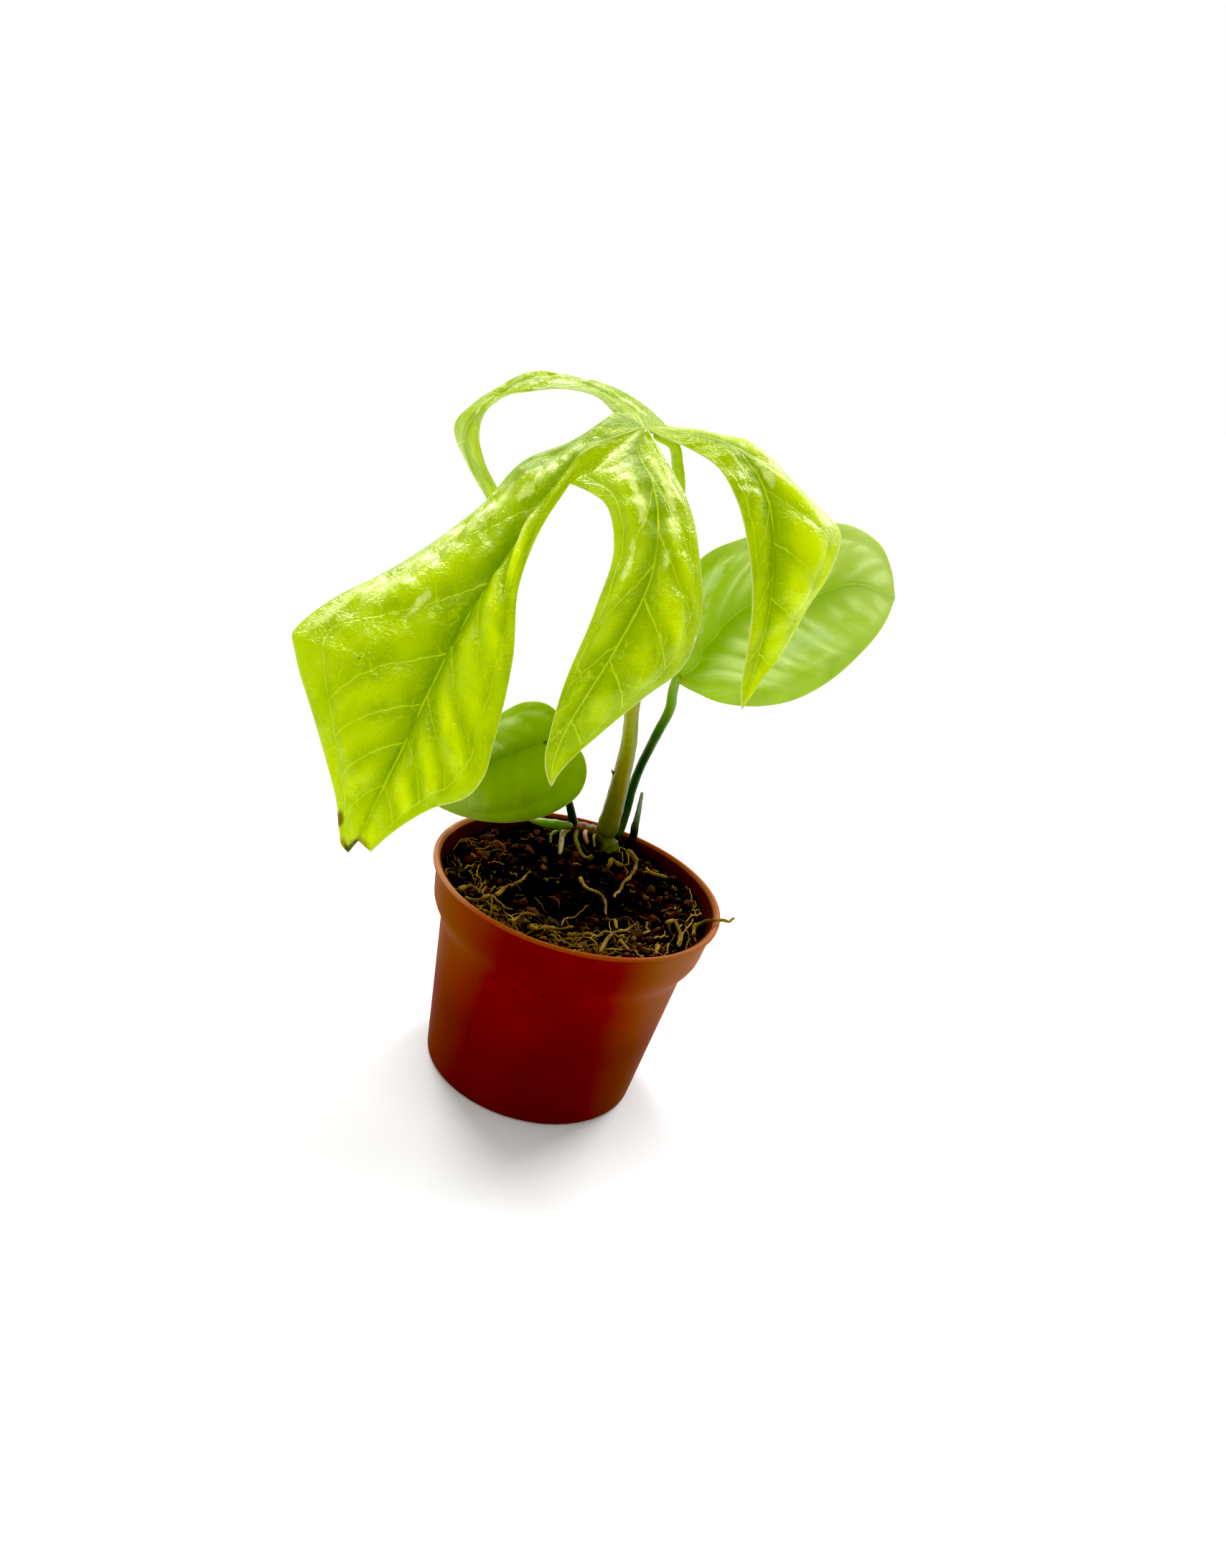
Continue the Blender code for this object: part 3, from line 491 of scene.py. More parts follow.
class Graph:
    """The shader network of one material."""

    def __init__(self, name: str) -> None:
        """Starts an empty network."""
        self.material = bpy.data.materials.new(name)
        self.material.use_nodes = True
        self.tree = self.material.node_tree
        self.tree.nodes.clear()

    def node(self, kind: str, settings: dict, inputs: dict, output: int | str = 0) -> Shade:
        """Adds one node.

        Args:
            kind: The node's type.
            settings: Its own settings, set first.
            inputs: A value or a link for each named or numbered socket.
            output: The socket that is returned.

        Returns:
            The output, to build on.
        """
        made = self.tree.nodes.new(kind)
        for name, value in settings.items():
            setattr(made, name, value)
        for name, value in inputs.items():
            if isinstance(value, Shade):
                self.tree.links.new(value.socket, made.inputs[name])
            elif isinstance(value, tuple) and made.inputs[name].type == "RGBA":
                made.inputs[name].default_value = (*value, 1.0)
            else:
                made.inputs[name].default_value = value
        return Shade(self, made.outputs[output] if made.outputs else None)

    def place(self) -> Shade:
        """The place on the object, in metres."""
        return self.node("ShaderNodeTexCoord", {}, {}, "Object")

    def millimetres(self) -> Shade:
        """The place on the object, in millimetres."""
        return self.scaled(self.place(), (1 / MM,) * 3)

    def carried(self, name: str, output: str = "Vector") -> Shade:
        """A value that the surface carries."""
        return self.node("ShaderNodeAttribute", {"attribute_name": name}, {}, output)

    def parts(self, vector: Shade) -> tuple[Shade, Shade, Shade]:
        """The three numbers of a vector."""
        outputs = self.node("ShaderNodeSeparateXYZ", {}, {0: vector}).socket.node.outputs
        return Shade(self, outputs[0]), Shade(self, outputs[1]), Shade(self, outputs[2])

    def vector(self, x: Number, y: Number, z: Number) -> Shade:
        """A vector of three numbers."""
        return self.node("ShaderNodeCombineXYZ", {}, {0: x, 1: y, 2: z})

    def scaled(self, vector: Shade, factors: Point) -> Shade:
        """The vector times a factor along each axis."""
        return self.node("ShaderNodeVectorMath", {"operation": "MULTIPLY"}, {0: vector, 1: factors})

    def distance(self, vector: Shade, point: Point) -> Shade:
        """How far the vector's place is from the point."""
        return self.node("ShaderNodeVectorMath", {"operation": "DISTANCE"}, {0: vector, 1: point}, "Value")

    def noise(
        self, vector: Shade, scale: float, detail: float = 2.0, rough: float = 0.5, warp: float = 0.0
    ) -> Shade:
        """Noise between 0 and 1, about 0.5 on average."""
        inputs = {"Vector": vector, "Scale": scale, "Detail": detail, "Roughness": rough, "Distortion": warp}
        return self.node("ShaderNodeTexNoise", {}, inputs)

    def cell(self, vector: Shade, scale: float, feature: str = "F1") -> Shade:
        """The distance to the middle of the nearest cell of a random net, or to its edge."""
        inputs = {"Vector": vector, "Scale": scale}
        return self.node("ShaderNodeTexVoronoi", {"feature": feature}, inputs, "Distance")

    def blend(self, factor: Number, first: Tone, second: Tone, kind: str = "MIX") -> Shade:
        """Goes from the first colour to the second with the factor."""
        settings = {"data_type": "RGBA", "blend_type": kind, "clamp_factor": True}
        return self.node("ShaderNodeMix", settings, {0: factor, 6: first, 7: second}, 2)

    def layered(self, colour: Tone, *layers: tuple[Number, Tone]) -> Tone:
        """Lays colours over the first one, each by its share.

        Args:
            colour: The first colour.
            layers: The share and the colour of each layer.

        Returns:
            The colour with all of them.
        """
        for share, tone in layers:
            colour = self.blend(share, colour, tone)
        return colour

    def bump(self, height: Shade, depth: float) -> Shade:
        """The normal of a relief, where a height of 1 stands the depth in millimetres above 0."""
        return self.node("ShaderNodeBump", {}, {"Height": height, "Distance": depth * MM, "Strength": 1.0})

    def skin(self, colour: Shade, rough: Number, gloss: float, tint: Colour = WHITE, **more: Shade) -> Shade:
        """A plain surface of this colour, with a gloss of a strength and a tint, and any other inputs."""
        inputs = {"Base Color": colour, "Roughness": rough}
        inputs |= {"Specular IOR Level": gloss, "Specular Tint": tint}
        return self.node("ShaderNodeBsdfPrincipled", {}, {**inputs, **more})

    def finished(self, shader: Shade) -> Material:
        """Ends the network in this shader."""
        self.node("ShaderNodeOutputMaterial", {}, {"Surface": shader})
        return self.material


@dataclass(frozen=True)
class LeafFinish:
    """The finish of a leaf blade.

    Its colours are those between the veins, of darker patches and of painted shade, of the painted light on
    the crowns, of the veins, of the underside, of the gloss and of the light that comes through. Each share
    says how much a feature shows. The net's size and its relief are in millimetres, as are the middles of a
    torn edge, a burnt spot, dry points at the margins and dark specks. The browned colours are those of the
    torn edge, from outside, the burnt spot, the dry points and the specks.
    """

    name: str
    green: Colour
    # The colour of darker patches and of painted shade.
    shade: Colour
    # The colour of painted light.
    glow: Colour
    vein: Colour
    under: Colour
    shine: Colour
    through: Colour
    through_share: float = 0.25
    vein_share: float = 0.75
    rib_share: float = 0.85
    net_size: float = 3.0
    net_share: float = 0.4
    rough: float = 0.20
    relief: float = 0.10
    shine_level: float = 0.85
    shadow_share: float = 0.34
    band_share: float = 0.0
    torn_tip: Point | None = None
    burnt_spot: Point | None = None
    dry_points: tuple[Point, ...] = ()
    specks: tuple[Point, ...] = ()
    # The colour of the streaks, partly the leaf's silver and partly painted highlight.
    silver: Colour = linear(238, 250, 140)
    margin_tone: Colour = (0.76, 0.78, 0.34)
    browned: tuple[Colour, ...] = (
        (0.22, 0.11, 0.01), (0.006, 0.002, 0.002), (0.15, 0.05, 0.002), (0.78, 0.72, 0.50),
        (0.04, 0.05, 0.002),
    )

    SPOT_FLATTENING = 0.45

    def material(self) -> Material:
        """Builds the material.

        Lines are drawn where the distance to a vein, in millimetres, is under half their width: across for
        the midrib, the fraction of the vein count times the spacing for side veins, and for the net the
        distance to the edge of a random cell, in places counted by side veins one way and by millimetres
        from the midrib the other.

        Returns:
            The material.
        """
        g = Graph(self.name)
        across, along, margin = g.parts(g.carried("blade"))
        count, spacing, side = g.parts(g.carried("veins"))
        # The painted light on the crowns, the painted shade and the paleness that each point carries.
        glow, painted_shade, paler = g.parts(g.carried("tone"))
        upper = side.rise(-0.2, 0.2)
        mm = g.millimetres()
        mist = g.noise(mm, 0.16, 3.0)
        wobble = g.noise(mm, 0.45, 2.0) - 0.5
        from_rib = abs(across)
        half_width = from_rib + margin
        share = from_rib / half_width.at_least(0.5)
        step = (count + wobble * 0.10 + 0.5).fraction() - 0.5
        from_side = abs(step) * spacing
        crown = abs(step) * 2.0

        rib = (from_rib + wobble * 0.1).fall(0.07, 0.24)
        # Painted shadow along both sides of the midrib.
        rib_shadow = abs(from_rib - 0.5).fall(0.0, 0.42) * half_width.rise(3.5, 8.0)
        beyond = (share + crown * 0.03 - LOOP_SHARE) * half_width + wobble * 0.5
        wide = half_width.rise(3.0, 7.0)
        loop = abs(beyond).fall(0.05, 0.24) * wide
        loop_shadow = abs(beyond + 0.3).fall(0.1, 1.5) * wide
        side_vein = from_side.fall(0.04, 0.22) * share.fall(0.77, 0.81) * share.rise(0.0, 0.03)
        side_vein = side_vein.at_least(loop)
        side_shadow = from_side.fall(0.2, 2.3) * share.fall(0.30, 0.95) * share.rise(0.0, 0.1)
        side_shadow = side_shadow * mist.rise(0.22, 0.6)
        # Painted highlight: pale bands along the side veins.
        band = from_side.fall(0.3, 2.0) * share.fall(0.55, 0.98) * share.rise(0.05, 0.3)
        band = band * mist.rise(0.34, 0.58)
        net_down, net_across = count * 1.7 + wobble * 1.3, across / self.net_size + wobble * 1.6
        net = g.cell(g.vector(net_down, net_across, across.sign()), 1.0, "DISTANCE_TO_EDGE")
        net = net.fall(0.008, 0.045) * mist.rise(0.30, 0.62)
        fine_place = g.vector(across + wobble * 2.0, along + mist * 2.5, 3.0)
        fine = g.cell(fine_place, 3.1 / self.net_size, "DISTANCE_TO_EDGE").fall(0.02, 0.12)

        # Painted light on the crowns between the side veins.
        lit = crown.rise(0.2, 0.95) * share.rise(0.06, 0.34) * share.fall(0.66, 0.98) * mist.rise(0.26, 0.5)
        # The streaks, partly the leaf's silver and partly painted highlight.
        streak = g.parts(g.carried("sheen"))[0]
        broken = g.noise(g.vector(across * 0.8, along * 0.45, 9.0), 0.9, 4.0, 0.65, 0.6) - 0.5
        colour = g.layered(
            self.green,
            (mist.rise(0.42, 0.75) * 0.6, self.shade),
            # Paler: painted light towards the tip and on a half, with tone that differs at random.
            (paler, self.glow),
            (side_shadow.at_least(loop_shadow) * self.shadow_share, self.shade),
            # The pale bands of painted highlight.
            (band * glow * self.band_share, self.glow),
            # Painted light on the crowns.
            (lit * glow * (1.0 - self.band_share), self.glow),
            # Painted shade by the midrib, on the outer parts near the root and towards a darkened tip.
            (painted_shade, self.shade),
            # The streaks, partly the leaf's silver and partly painted highlight.
            ((streak + broken * 1.9).rise(0.5, 1.05) * 0.75, self.silver),
            (fine * 0.16 * self.net_share, self.vein),
            (net * self.net_share, self.vein),
            # The painted shadow beside the midrib.
            (rib_shadow * 0.5, self.shade),
            (side_vein * self.vein_share, self.vein),
            (rib * self.rib_share, self.vein),
            (1.0 - upper, g.blend(rib.at_least(side_vein) * 0.6, self.under, self.vein)),
            (margin.fall(0.06, 0.26) * 0.75, self.margin_tone),
            *self.blemishes(g, mm, margin, wobble),
        )

        grain = g.noise(g.vector(across, along, 0.0), 2.4, 4.0, 0.65)
        wrinkle = g.noise(mm, 0.42, 3.0, 0.55, 0.8)
        relief = wrinkle * 2.2 + grain * 0.12 - fine * 0.25 - net * 0.5 - side_vein * 0.7 + rib * 0.7
        normal = g.bump(relief, self.relief)
        rough = (grain - 0.5) * 0.2 + self.rough + (1.0 - upper) * 0.2 + painted_shade * 0.35
        skin = g.skin(colour, rough, self.shine_level, self.shine, Normal=normal)
        light = g.node("ShaderNodeBsdfTranslucent", {}, {"Color": self.through})
        return g.finished(g.node("ShaderNodeMixShader", {}, {0: self.through_share, 1: skin, 2: light}))

    def blemishes(self, g: Graph, mm: Shade, margin: Shade, wobble: Shade) -> list[tuple[Shade, Colour]]:
        """The torn tip, the burnt spot, the dry points and the specks, each drawn by the distance to it.

        Args:
            g: The network.
            mm: The place in millimetres.
            margin: The distance to the margin.
            wobble: Noise that frays the edges.

        Returns:
            The share and the colour of each.
        """
        torn, black, burnt, dry, dark = self.browned
        layers = []
        if self.torn_tip is not None:
            near = g.distance(mm, self.torn_tip)
            frayed = margin + wobble * 0.5
            layers.append((near.fall(2.0, 3.2) * frayed.fall(0.6, 1.5) * 0.8, torn))
            layers.append((near.fall(1.5, 1.9) * frayed.fall(0.6, 0.95), black))
        if self.burnt_spot is not None:
            x, y, z = self.burnt_spot
            flat = g.scaled(mm, (1.0, 1.0, self.SPOT_FLATTENING))
            near = g.distance(flat, (x, y, z * self.SPOT_FLATTENING))
            layers.append(((near + wobble).fall(0.35, 0.9), burnt))
        layers += [(g.distance(mm, point).fall(0.35, 0.75), dry) for point in self.dry_points]
        return layers + [(g.distance(mm, point).fall(0.12, 0.38) * 0.85, dark) for point in self.specks]


@dataclass(frozen=True)
class PlasticFinish:
    """Thin moulded red-brown plastic, with faint dust and marks, and light and shade painted into its colour.
    """

    name: str = "moulded_plastic"
    body: Colour = (0.172, 0.0026, 0.0006)
    # A darker red, at random and as painted shade towards the foot.
    deep: Colour = (0.100, 0.0010, 0.0003)
    # The browner tone of painted light on the sides, the collar and the back.
    brown: Colour = (0.178, 0.043, 0.004)
    # Pinkish brown: painted light at the edges and on the rim's left, and faint rubbed specks.
    wear_and_rim_light: Colour = (0.430, 0.185, 0.095)
    # The rim top's colour, partly rubbed plastic and partly painted highlight.
    rim: Colour = (0.300, 0.085, 0.030)
    # Dark marks, and also the painted shadow under the lip.
    mark: Colour = (0.040, 0.002, 0.002)
    # The colour of the painted shade on the inner wall.
    inside: Colour = (0.030, 0.006, 0.003)
    gloss: float = 0.05
    gloss_tint: Colour = (1.0, 0.55, 0.35)
    rim_height: float = 44.7
    lip_foot: float = 43.95
    collar_slope: float = 0.136
    marks: tuple[Point, ...] = ((-6.3, -24.9, 30.8), (-0.5, -25.8, 31.9), (-10.3, -23.6, 31.8))

    def material(self) -> Material:
        """Builds the material: painted light and shade, a partly rubbed rim, small marks, and a fine relief.
        """
        g = Graph(self.name)
        place = g.millimetres()
        x, y, height = g.parts(place)
        cloud = g.noise(place, 0.05, 3.0)
        speck = g.noise(place, 1.9, 3.0, 0.7)
        fine = g.noise(g.scaled(place, (1.0, 1.0, 0.15)), 3.5, 2.0)
        radius = (x * x + y * y) ** 0.5
        aside = abs(x) / radius.at_least(1.0) + (cloud - 0.5) * 0.5
        low = height.rise(16.0, 36.0) * 0.75 + 0.25
        higher = height.rise(40.0, 44.0) * 0.12
        # Painted light: the sides seen from the front and the collar's top are browner, less so low down.
        in_front = (aside.rise(0.36, 0.84) * low * 0.9 + higher) * y.fall(-6.0, 14.0)
        # Painted shade on the inner wall above the mix.
        inner = (radius - height * self.collar_slope).fall(22.4, 22.9) * height.rise(36.0, 38.0)
        # The rim's top, lighter partly as rubbed plastic and partly as painted highlight.
        lit_and_worn_rim = height.rise(self.rim_height - 0.4, self.rim_height)
        colour = g.layered(
            self.body,
            # Darker at random, and darker towards the foot as painted shade.
            (cloud.rise(0.35, 0.65) * 0.6 + height.fall(8.0, 34.0) * 0.7, self.deep),
            # Painted light: the sides, the collar's top and the back are browner.
            (in_front + y.rise(-6.0, 14.0) * 0.4, self.brown),
            # Painted light: pinker at the far sides and on the right, less so low down.
            (aside.rise(0.82, 1.15) * low * 0.5 + x.rise(12.0, 30.0) * low * 0.42, self.wear_and_rim_light),
            (inner, self.inside),
            # Painted shadow under the lip.
            (abs(height - self.lip_foot).fall(0.1, 0.35) * 0.6, self.mark),
            # The rim's top: partly rubbed, partly painted highlight.
            (lit_and_worn_rim * (speck * 0.7 + 0.15), self.rim),
            # Painted light on the rim's top towards the left.
            (lit_and_worn_rim * x.fall(-26.0, -14.0) * 0.7, self.wear_and_rim_light),
            (speck.rise(0.66, 0.76) * 0.10, self.wear_and_rim_light),
            *((g.distance(place, mark).fall(0.15, 0.6) * 0.8, self.mark) for mark in self.marks),
        )
        rough = fine * 0.2 + cloud * 0.12 + 0.52
        normal = g.bump(fine * 0.4 + speck * 0.6, 0.02)
        return g.finished(g.skin(colour, rough, self.gloss, self.gloss_tint, Normal=normal))


@dataclass(frozen=True)
class MixFinish:
    """Moist dark potting mix: nearly black fibre with red-brown crumbs."""

    name: str = "moist_mix"
    dark: Colour = (0.0030, 0.0014, 0.0008)
    brown: Colour = (0.040, 0.010, 0.003)
    gloss: float = 0.03
    gloss_tint: Colour = (1.0, 0.7, 0.5)

    def material(self) -> Material:
        """Builds the material: brown clods on black, rough, with a damp gleam on some crumbs."""
        g = Graph(self.name)
        place = g.millimetres()
        cloud = g.noise(place, 0.16, 2.0)
        crumb = g.noise(place, 0.8, 5.0, 0.7)
        grit = g.cell(place, 1.3)
        colour = g.blend((crumb * 0.45 + cloud * 0.55).rise(0.55, 0.66), self.dark, self.brown)
        normal = g.bump(crumb * 0.8 - grit * 0.4, 0.5)
        rough = 0.95 - crumb.rise(0.55, 0.75) * 0.15
        return g.finished(g.skin(colour, rough, self.gloss, self.gloss_tint, Normal=normal))


@dataclass(frozen=True)
class TintedFinish:
    """The finish of small natural pieces that carry their own colour.

    The streak is how much darker the streaks along a piece are, and darkening the factor on the colour
    there. The grain's usual size and the depth of its relief are in millimetres.
    """

    name: str
    streak: float
    rough: float
    shine: float
    grain: float
    depth: float
    darkening: Colour = (0.30, 0.24, 0.18)

    def material(self) -> Material:
        """Builds the material: the carried colour, darkened by streaks along the stalk and by specks."""
        g = Graph(self.name)
        cosine, sine, along = g.parts(g.carried("stalk"))
        tint = g.carried("tint", "Color")
        place = g.millimetres()
        fibre = g.noise(g.vector(cosine * 1.6, sine * 1.6, along * 0.09), 1.6, 4.0, 0.6)
        speck = g.noise(place, 1 / self.grain, 4.0, 0.65)
        dark = (fibre.fall(0.35, 0.62) * 0.6 + speck.fall(0.32, 0.6) * 0.6) * self.streak
        colour = g.blend(dark, tint, g.blend(1.0, tint, self.darkening, "MULTIPLY"))
        normal = g.bump(fibre * 0.5 + speck * 0.5, self.depth)
        rough = (speck - 0.5) * 0.2 + self.rough
        return g.finished(g.skin(colour, rough, self.shine, Normal=normal))


# Leaves


@dataclass(frozen=True)
class SideVeins:
    """The side veins in one half of a blade: where each leaves the midrib and reaches the margin.

    Both are shares of the blade's length. With a bow under 1 they lean towards the tip at once, with one
    over 1 only near the margin.
    """

    starts: tuple[float, ...]
    ends: tuple[float, ...]
    bow: float = 0.9

    @staticmethod
    def even(count: int, first: float, last: float, lean: float, bow: float = 0.9) -> "SideVeins":
        """Veins at even distances from the first to the last, which lean by a share of the length left."""
        starts = np.linspace(first, last, count)
        return SideVeins(tuple(starts), tuple(starts + lean * (1 - starts)), bow)

    def counted(self, share: Array, along: Array) -> Array:
        """Counts the veins: a whole number on each and evenly between.

        Vein k lies at start k plus (end k minus start k) times the share to the power of the bow.

        Args:
            share: How far out each column lies, from 0 on the midrib to 1 on the margin.
            along: How far along each row lies.

        Returns:
            The count, rows by columns.
        """
        starts, ends = np.array(self.starts), np.array(self.ends)
        columns = []
        for out in share:
            places = starts + (ends - starts) * out**self.bow
            knots = np.concatenate([[min(-0.05, places[0] - 0.1)], places, [max(1.05, places[-1] + 0.1)]])
            columns.append(np.interp(along, knots, np.arange(len(knots))))
        return np.stack(columns, axis=1)


@dataclass
class Chart:
    """Where the points of a blade's grid lie, rows by columns.

    Attributes:
        grid: Their places, in millimetres.
        signed: Their share of the way to the margin, negative on the left.
        along: How far along the blade they are, as a share.
        length: How far along the midrib they are, in millimetres.
        width: The width of their half, in millimetres.
        count: The count of side veins.
        strength: How strongly the blade crowns between these two side veins.
        seam: 1 at the junction, 0 from the notch on.
    """

    grid: Array
    signed: Array
    along: Array
    length: Array
    width: Array
    count: Array
    strength: Array
    seam: Array

    def out(self) -> Array:
        """The share of the way to the margin."""
        return np.abs(self.signed)

    def by_half(self, pair: Flat) -> Array:
        """The first number on the left half and the second on the right."""
        return np.where(self.signed < 0, *pair)


@dataclass(frozen=True)
class Blade:
    """One lobe of a leaf, or a whole leaf without lobes, by points in millimetres.

    Its margins run from the notch or the stalk to the tip, and its midrib from the junction. Where a field
    has two numbers, they are for the left and the right half: how high it arches and crowns between the
    side veins, how much painted light glows on the crowns, how much painted shade darkens its outer parts
    near the root and how much paler it is painted all over, as light. The tip glow paints it paler towards
    the tip as light, and darker as shade where it is below 0. The root share is how far along the midrib the
    notches lie, and none without lobes. Rows run from the junction to the tip, columns from the midrib to a
    margin. A streak, partly the leaf's silver and partly painted highlight, is its share across, negative
    on the left, where along it starts and ends, and its reach.
    """

    left: tuple[Point, ...]
    vein: tuple[Point, ...]
    right: tuple[Point, ...]
    rise: Flat
    left_veins: SideVeins
    right_veins: SideVeins
    root_share: float | None = None
    rows: int = 170
    columns: int = 26
    quilt: Flat = (0.5, 0.8)
    ripple: float = 0.10
    # The glow, the dim root, the tip glow and the half glow paint light and shade into the blade's tone.
    glow: Flat = (0.35, 0.85)
    dim_root: Flat = (0.0, 0.0)
    tip_glow: float = 0.30
    half_glow: Flat = (0.0, 0.0)
    # Streaks that are partly the leaf's silver and partly painted highlight.
    sheen: tuple[tuple[float, float, float, float], ...] = ()
    seed: int = 1

    SEAM_ROWS = 20
    SEAM_MARGIN = 8.0
    BASAL_ROWS_SHARE = 3 / 22
    ARCH_FULLNESS = 0.6
    ARCH_WIDTH = 11.0
    NARROW_POWER = 1.8
    COLUMN_CROWDING = 1.25
    CROWN_POWER = 1.4
    CROWN_WIDTH = 10.0
    MOST_GAPS = 40
    LOOP_FOLD = 0.3
    FOLD_REACH = 1.2
    RIPPLE_SIZES = (5.5, 2.4)
    SHOULDER_CRINKLE = 1.2
    SHOULDER = (0.34, 0.15)
    GROOVE_REACH = 3.8
    GROOVE_DEPTHS = (0.95, 0.6)
    GROOVE_WIDTH = 14.0
    CLOUD_SIZE = 16.0
    STREAK_EDGE = 0.03

    def margins(self) -> tuple[Array, Array, Array, Array, Array]:
        """The rows of the left margin, the midrib and the right margin.

        The rows of a lobe start at the junction: up to the notch its margins are straight seams, and
        beyond it they follow their own points. A blade without lobes keeps its midrib at the stalk until
        its margins have parted.

        Returns:
            The left margin, the midrib, the right margin, how far along each row is and how much of it
            is seam, from 1 at the junction to 0 at the notch.
        """
        if self.root_share is None:
            along = np.linspace(0, 1, self.rows + 1)
            kept = self.BASAL_ROWS_SHARE
            on_vein = np.clip((along - kept) / (1 - kept), 0, 1)
            sides = [smooth_path(self.left, along), smooth_path(self.right, along)]
            return sides[0], smooth_path(self.vein, on_vein), sides[1], along, np.zeros(self.rows + 1)
        seam = np.linspace(0, 1, self.SEAM_ROWS + 1)[:-1, None]
        free = np.linspace(0, 1, self.rows - self.SEAM_ROWS + 1)
        root = np.array(self.vein[0], float)
        sides = []
        for points in (self.left, self.right):
            start = root + seam * (np.array(points[0], float) - root)
            sides.append(np.vstack([start, smooth_path(points, free)]))
        along = np.concatenate([self.root_share * seam[:, 0], self.root_share + free * (1 - self.root_share)])
        seams = np.concatenate([1 - seam[:, 0], np.zeros_like(free)])
        return sides[0], smooth_path(self.vein, along), sides[1], along, seams

    def chart(self) -> Chart:
        """Lays out the arched blade, before its quilt.

        A point is the midrib's point, plus its share times the way to the margin, plus the arch along the
        upper direction: 4 share (1 - share) times the rise times sin(pi along) to the power of the
        fullness, and less where the half is narrow.

        Returns:
            The chart.
        """
        left, vein, right, along, seams = self.margins()
        forward = np.gradient(vein, axis=0)
        widest = np.argmax(np.linalg.norm(left - vein, axis=1))
        forward[np.linalg.norm(forward, axis=1) == 0] = forward[widest]
        swell = np.sin(np.pi * np.linspace(0, 1, len(vein))) ** self.ARCH_FULLNESS
        if self.root_share is not None:
            swell = swell * smooth_step(along, 0.7 * self.root_share, self.root_share + 0.16)
        share = np.linspace(0, 1, self.columns + 1) ** self.COLUMN_CROWDING
        halves, counts, widths = [], [], []
        for margin, height, turn, veins in (
            (left, self.rise[0], 1.0, self.left_veins), (right, self.rise[1], -1.0, self.right_veins)
        ):
            across = margin - vein
            reach = np.linalg.norm(across, axis=1)
            up = unit(np.cross(across, forward) * turn)
            narrow = np.minimum(reach / self.ARCH_WIDTH, 1) ** self.NARROW_POWER
            arch = 4 * share * (1 - share) * (swell * narrow)[:, None] * height
            half = vein[:, None] + share[:, None] * across[:, None] + arch[..., None] * up[:, None]
            half[:, -1] = margin
            halves.append(half)
            counts.append(veins.counted(share, along))
            widths.append(reach[:, None] * np.ones_like(share))
        grid, count, width = (
            np.concatenate([part[0][:, :0:-1], part[1]], axis=1) for part in (halves, counts, widths)
        )
        one = np.ones_like(count)
        signed = np.concatenate([-share[:0:-1], share])[None] * one
        strengths = np.random.default_rng(self.seed + 7).uniform(0.4, 1.2, (2, self.MOST_GAPS))
        gap = np.clip(count, 0, self.MOST_GAPS - 1).astype(int)
        strength = strengths[(signed > 0).astype(int), gap]
        length = travelled(vein)[:, None] * one
        return Chart(grid, signed, along[:, None] * one, length, width, count, strength, seams[:, None])

    def lift(self, chart: Chart) -> Array:
        """How far the quilt, the loop vein's fold and the ripples stand above the arch.

        The quilt is the crown between the side veins, sin(pi f) to a power for the fraction f of the vein
        count, times the strength of the gap, fading towards the midrib and the margin. The fold is a bell
        of the distance to the loop vein, and the ripples are noise of two sizes.

        Args:
            chart: The blade's chart.

        Returns:
            The lift of each point in millimetres, none in the first and the last row.
        """
        out, width, free = chart.out(), chart.width, 1 - chart.seam
        crown = chart.strength * np.abs(np.sin(np.pi * chart.count)) ** self.CROWN_POWER
        fade = smooth_step(out, 0.0, 0.2) * (1 - smooth_step(out, 0.45, 1.0))
        fade = fade * np.clip(width / self.CROWN_WIDTH, 0, 1) ** 2 * free
        fold = self.LOOP_FOLD * bell((out - LOOP_SHARE) * width, self.FOLD_REACH) * smooth_step(width, 5, 12)
        middle, reach = self.SHOULDER
        shoulder = 1 + self.SHOULDER_CRINKLE * bell(chart.along - middle, reach) * (chart.signed < 0)
        coarse, fine = (
            waves(chart.grid, size, self.seed + 50 * i) for i, size in enumerate(self.RIPPLE_SIZES)
        )
        ripples = (coarse * 1.3 + fine * 0.4) * shoulder * (1 - smooth_step(out, 0.8, 1.0)) * free
        lift = chart.by_half(self.quilt) * crown * fade - fold + self.ripple * ripples
        lift[[0, -1]] = 0
        return lift

    def tone(self, chart: Chart) -> Array:
        """How much painted light glows on the crowns, how deep the painted shade is and how pale the blade
        is.

        Args:
            chart: The blade's chart.

        Returns:
            The three numbers of each point.
        """
        out, along = chart.out(), chart.along
        # Painted light: the crowns glow, most on the stronger ones.
        glow = chart.by_half(self.glow) * smooth_step(along, 0.12, 0.4) * chart.strength
        # Painted shade along the midrib, less towards the tip.
        reach = np.clip(self.GROOVE_REACH * chart.width / self.GROOVE_WIDTH, 0.8, self.GROOVE_REACH)
        painted_shade = chart.by_half(self.GROOVE_DEPTHS) * bell(out * chart.width, reach)
        painted_shade = painted_shade * (1 - 0.65 * smooth_step(along, 0.6, 1.0))
        # Painted shade on the outer parts near the root, which face away from the light.
        dim = smooth_step(out, 0.35, 0.6) * (1 - smooth_step(along, 0.26, 0.36))
        # Painted light towards the tip, and painted shade there where the tip glow is below 0.
        to_tip = self.tip_glow * smooth_step(along, 0.45, 0.95)
        painted_shade = np.maximum(np.maximum(painted_shade, chart.by_half(self.dim_root) * dim), -to_tip)
        # Painted light over a half.
        half_glow = chart.by_half(self.half_glow) * smooth_step(out, 0.05, 0.35)
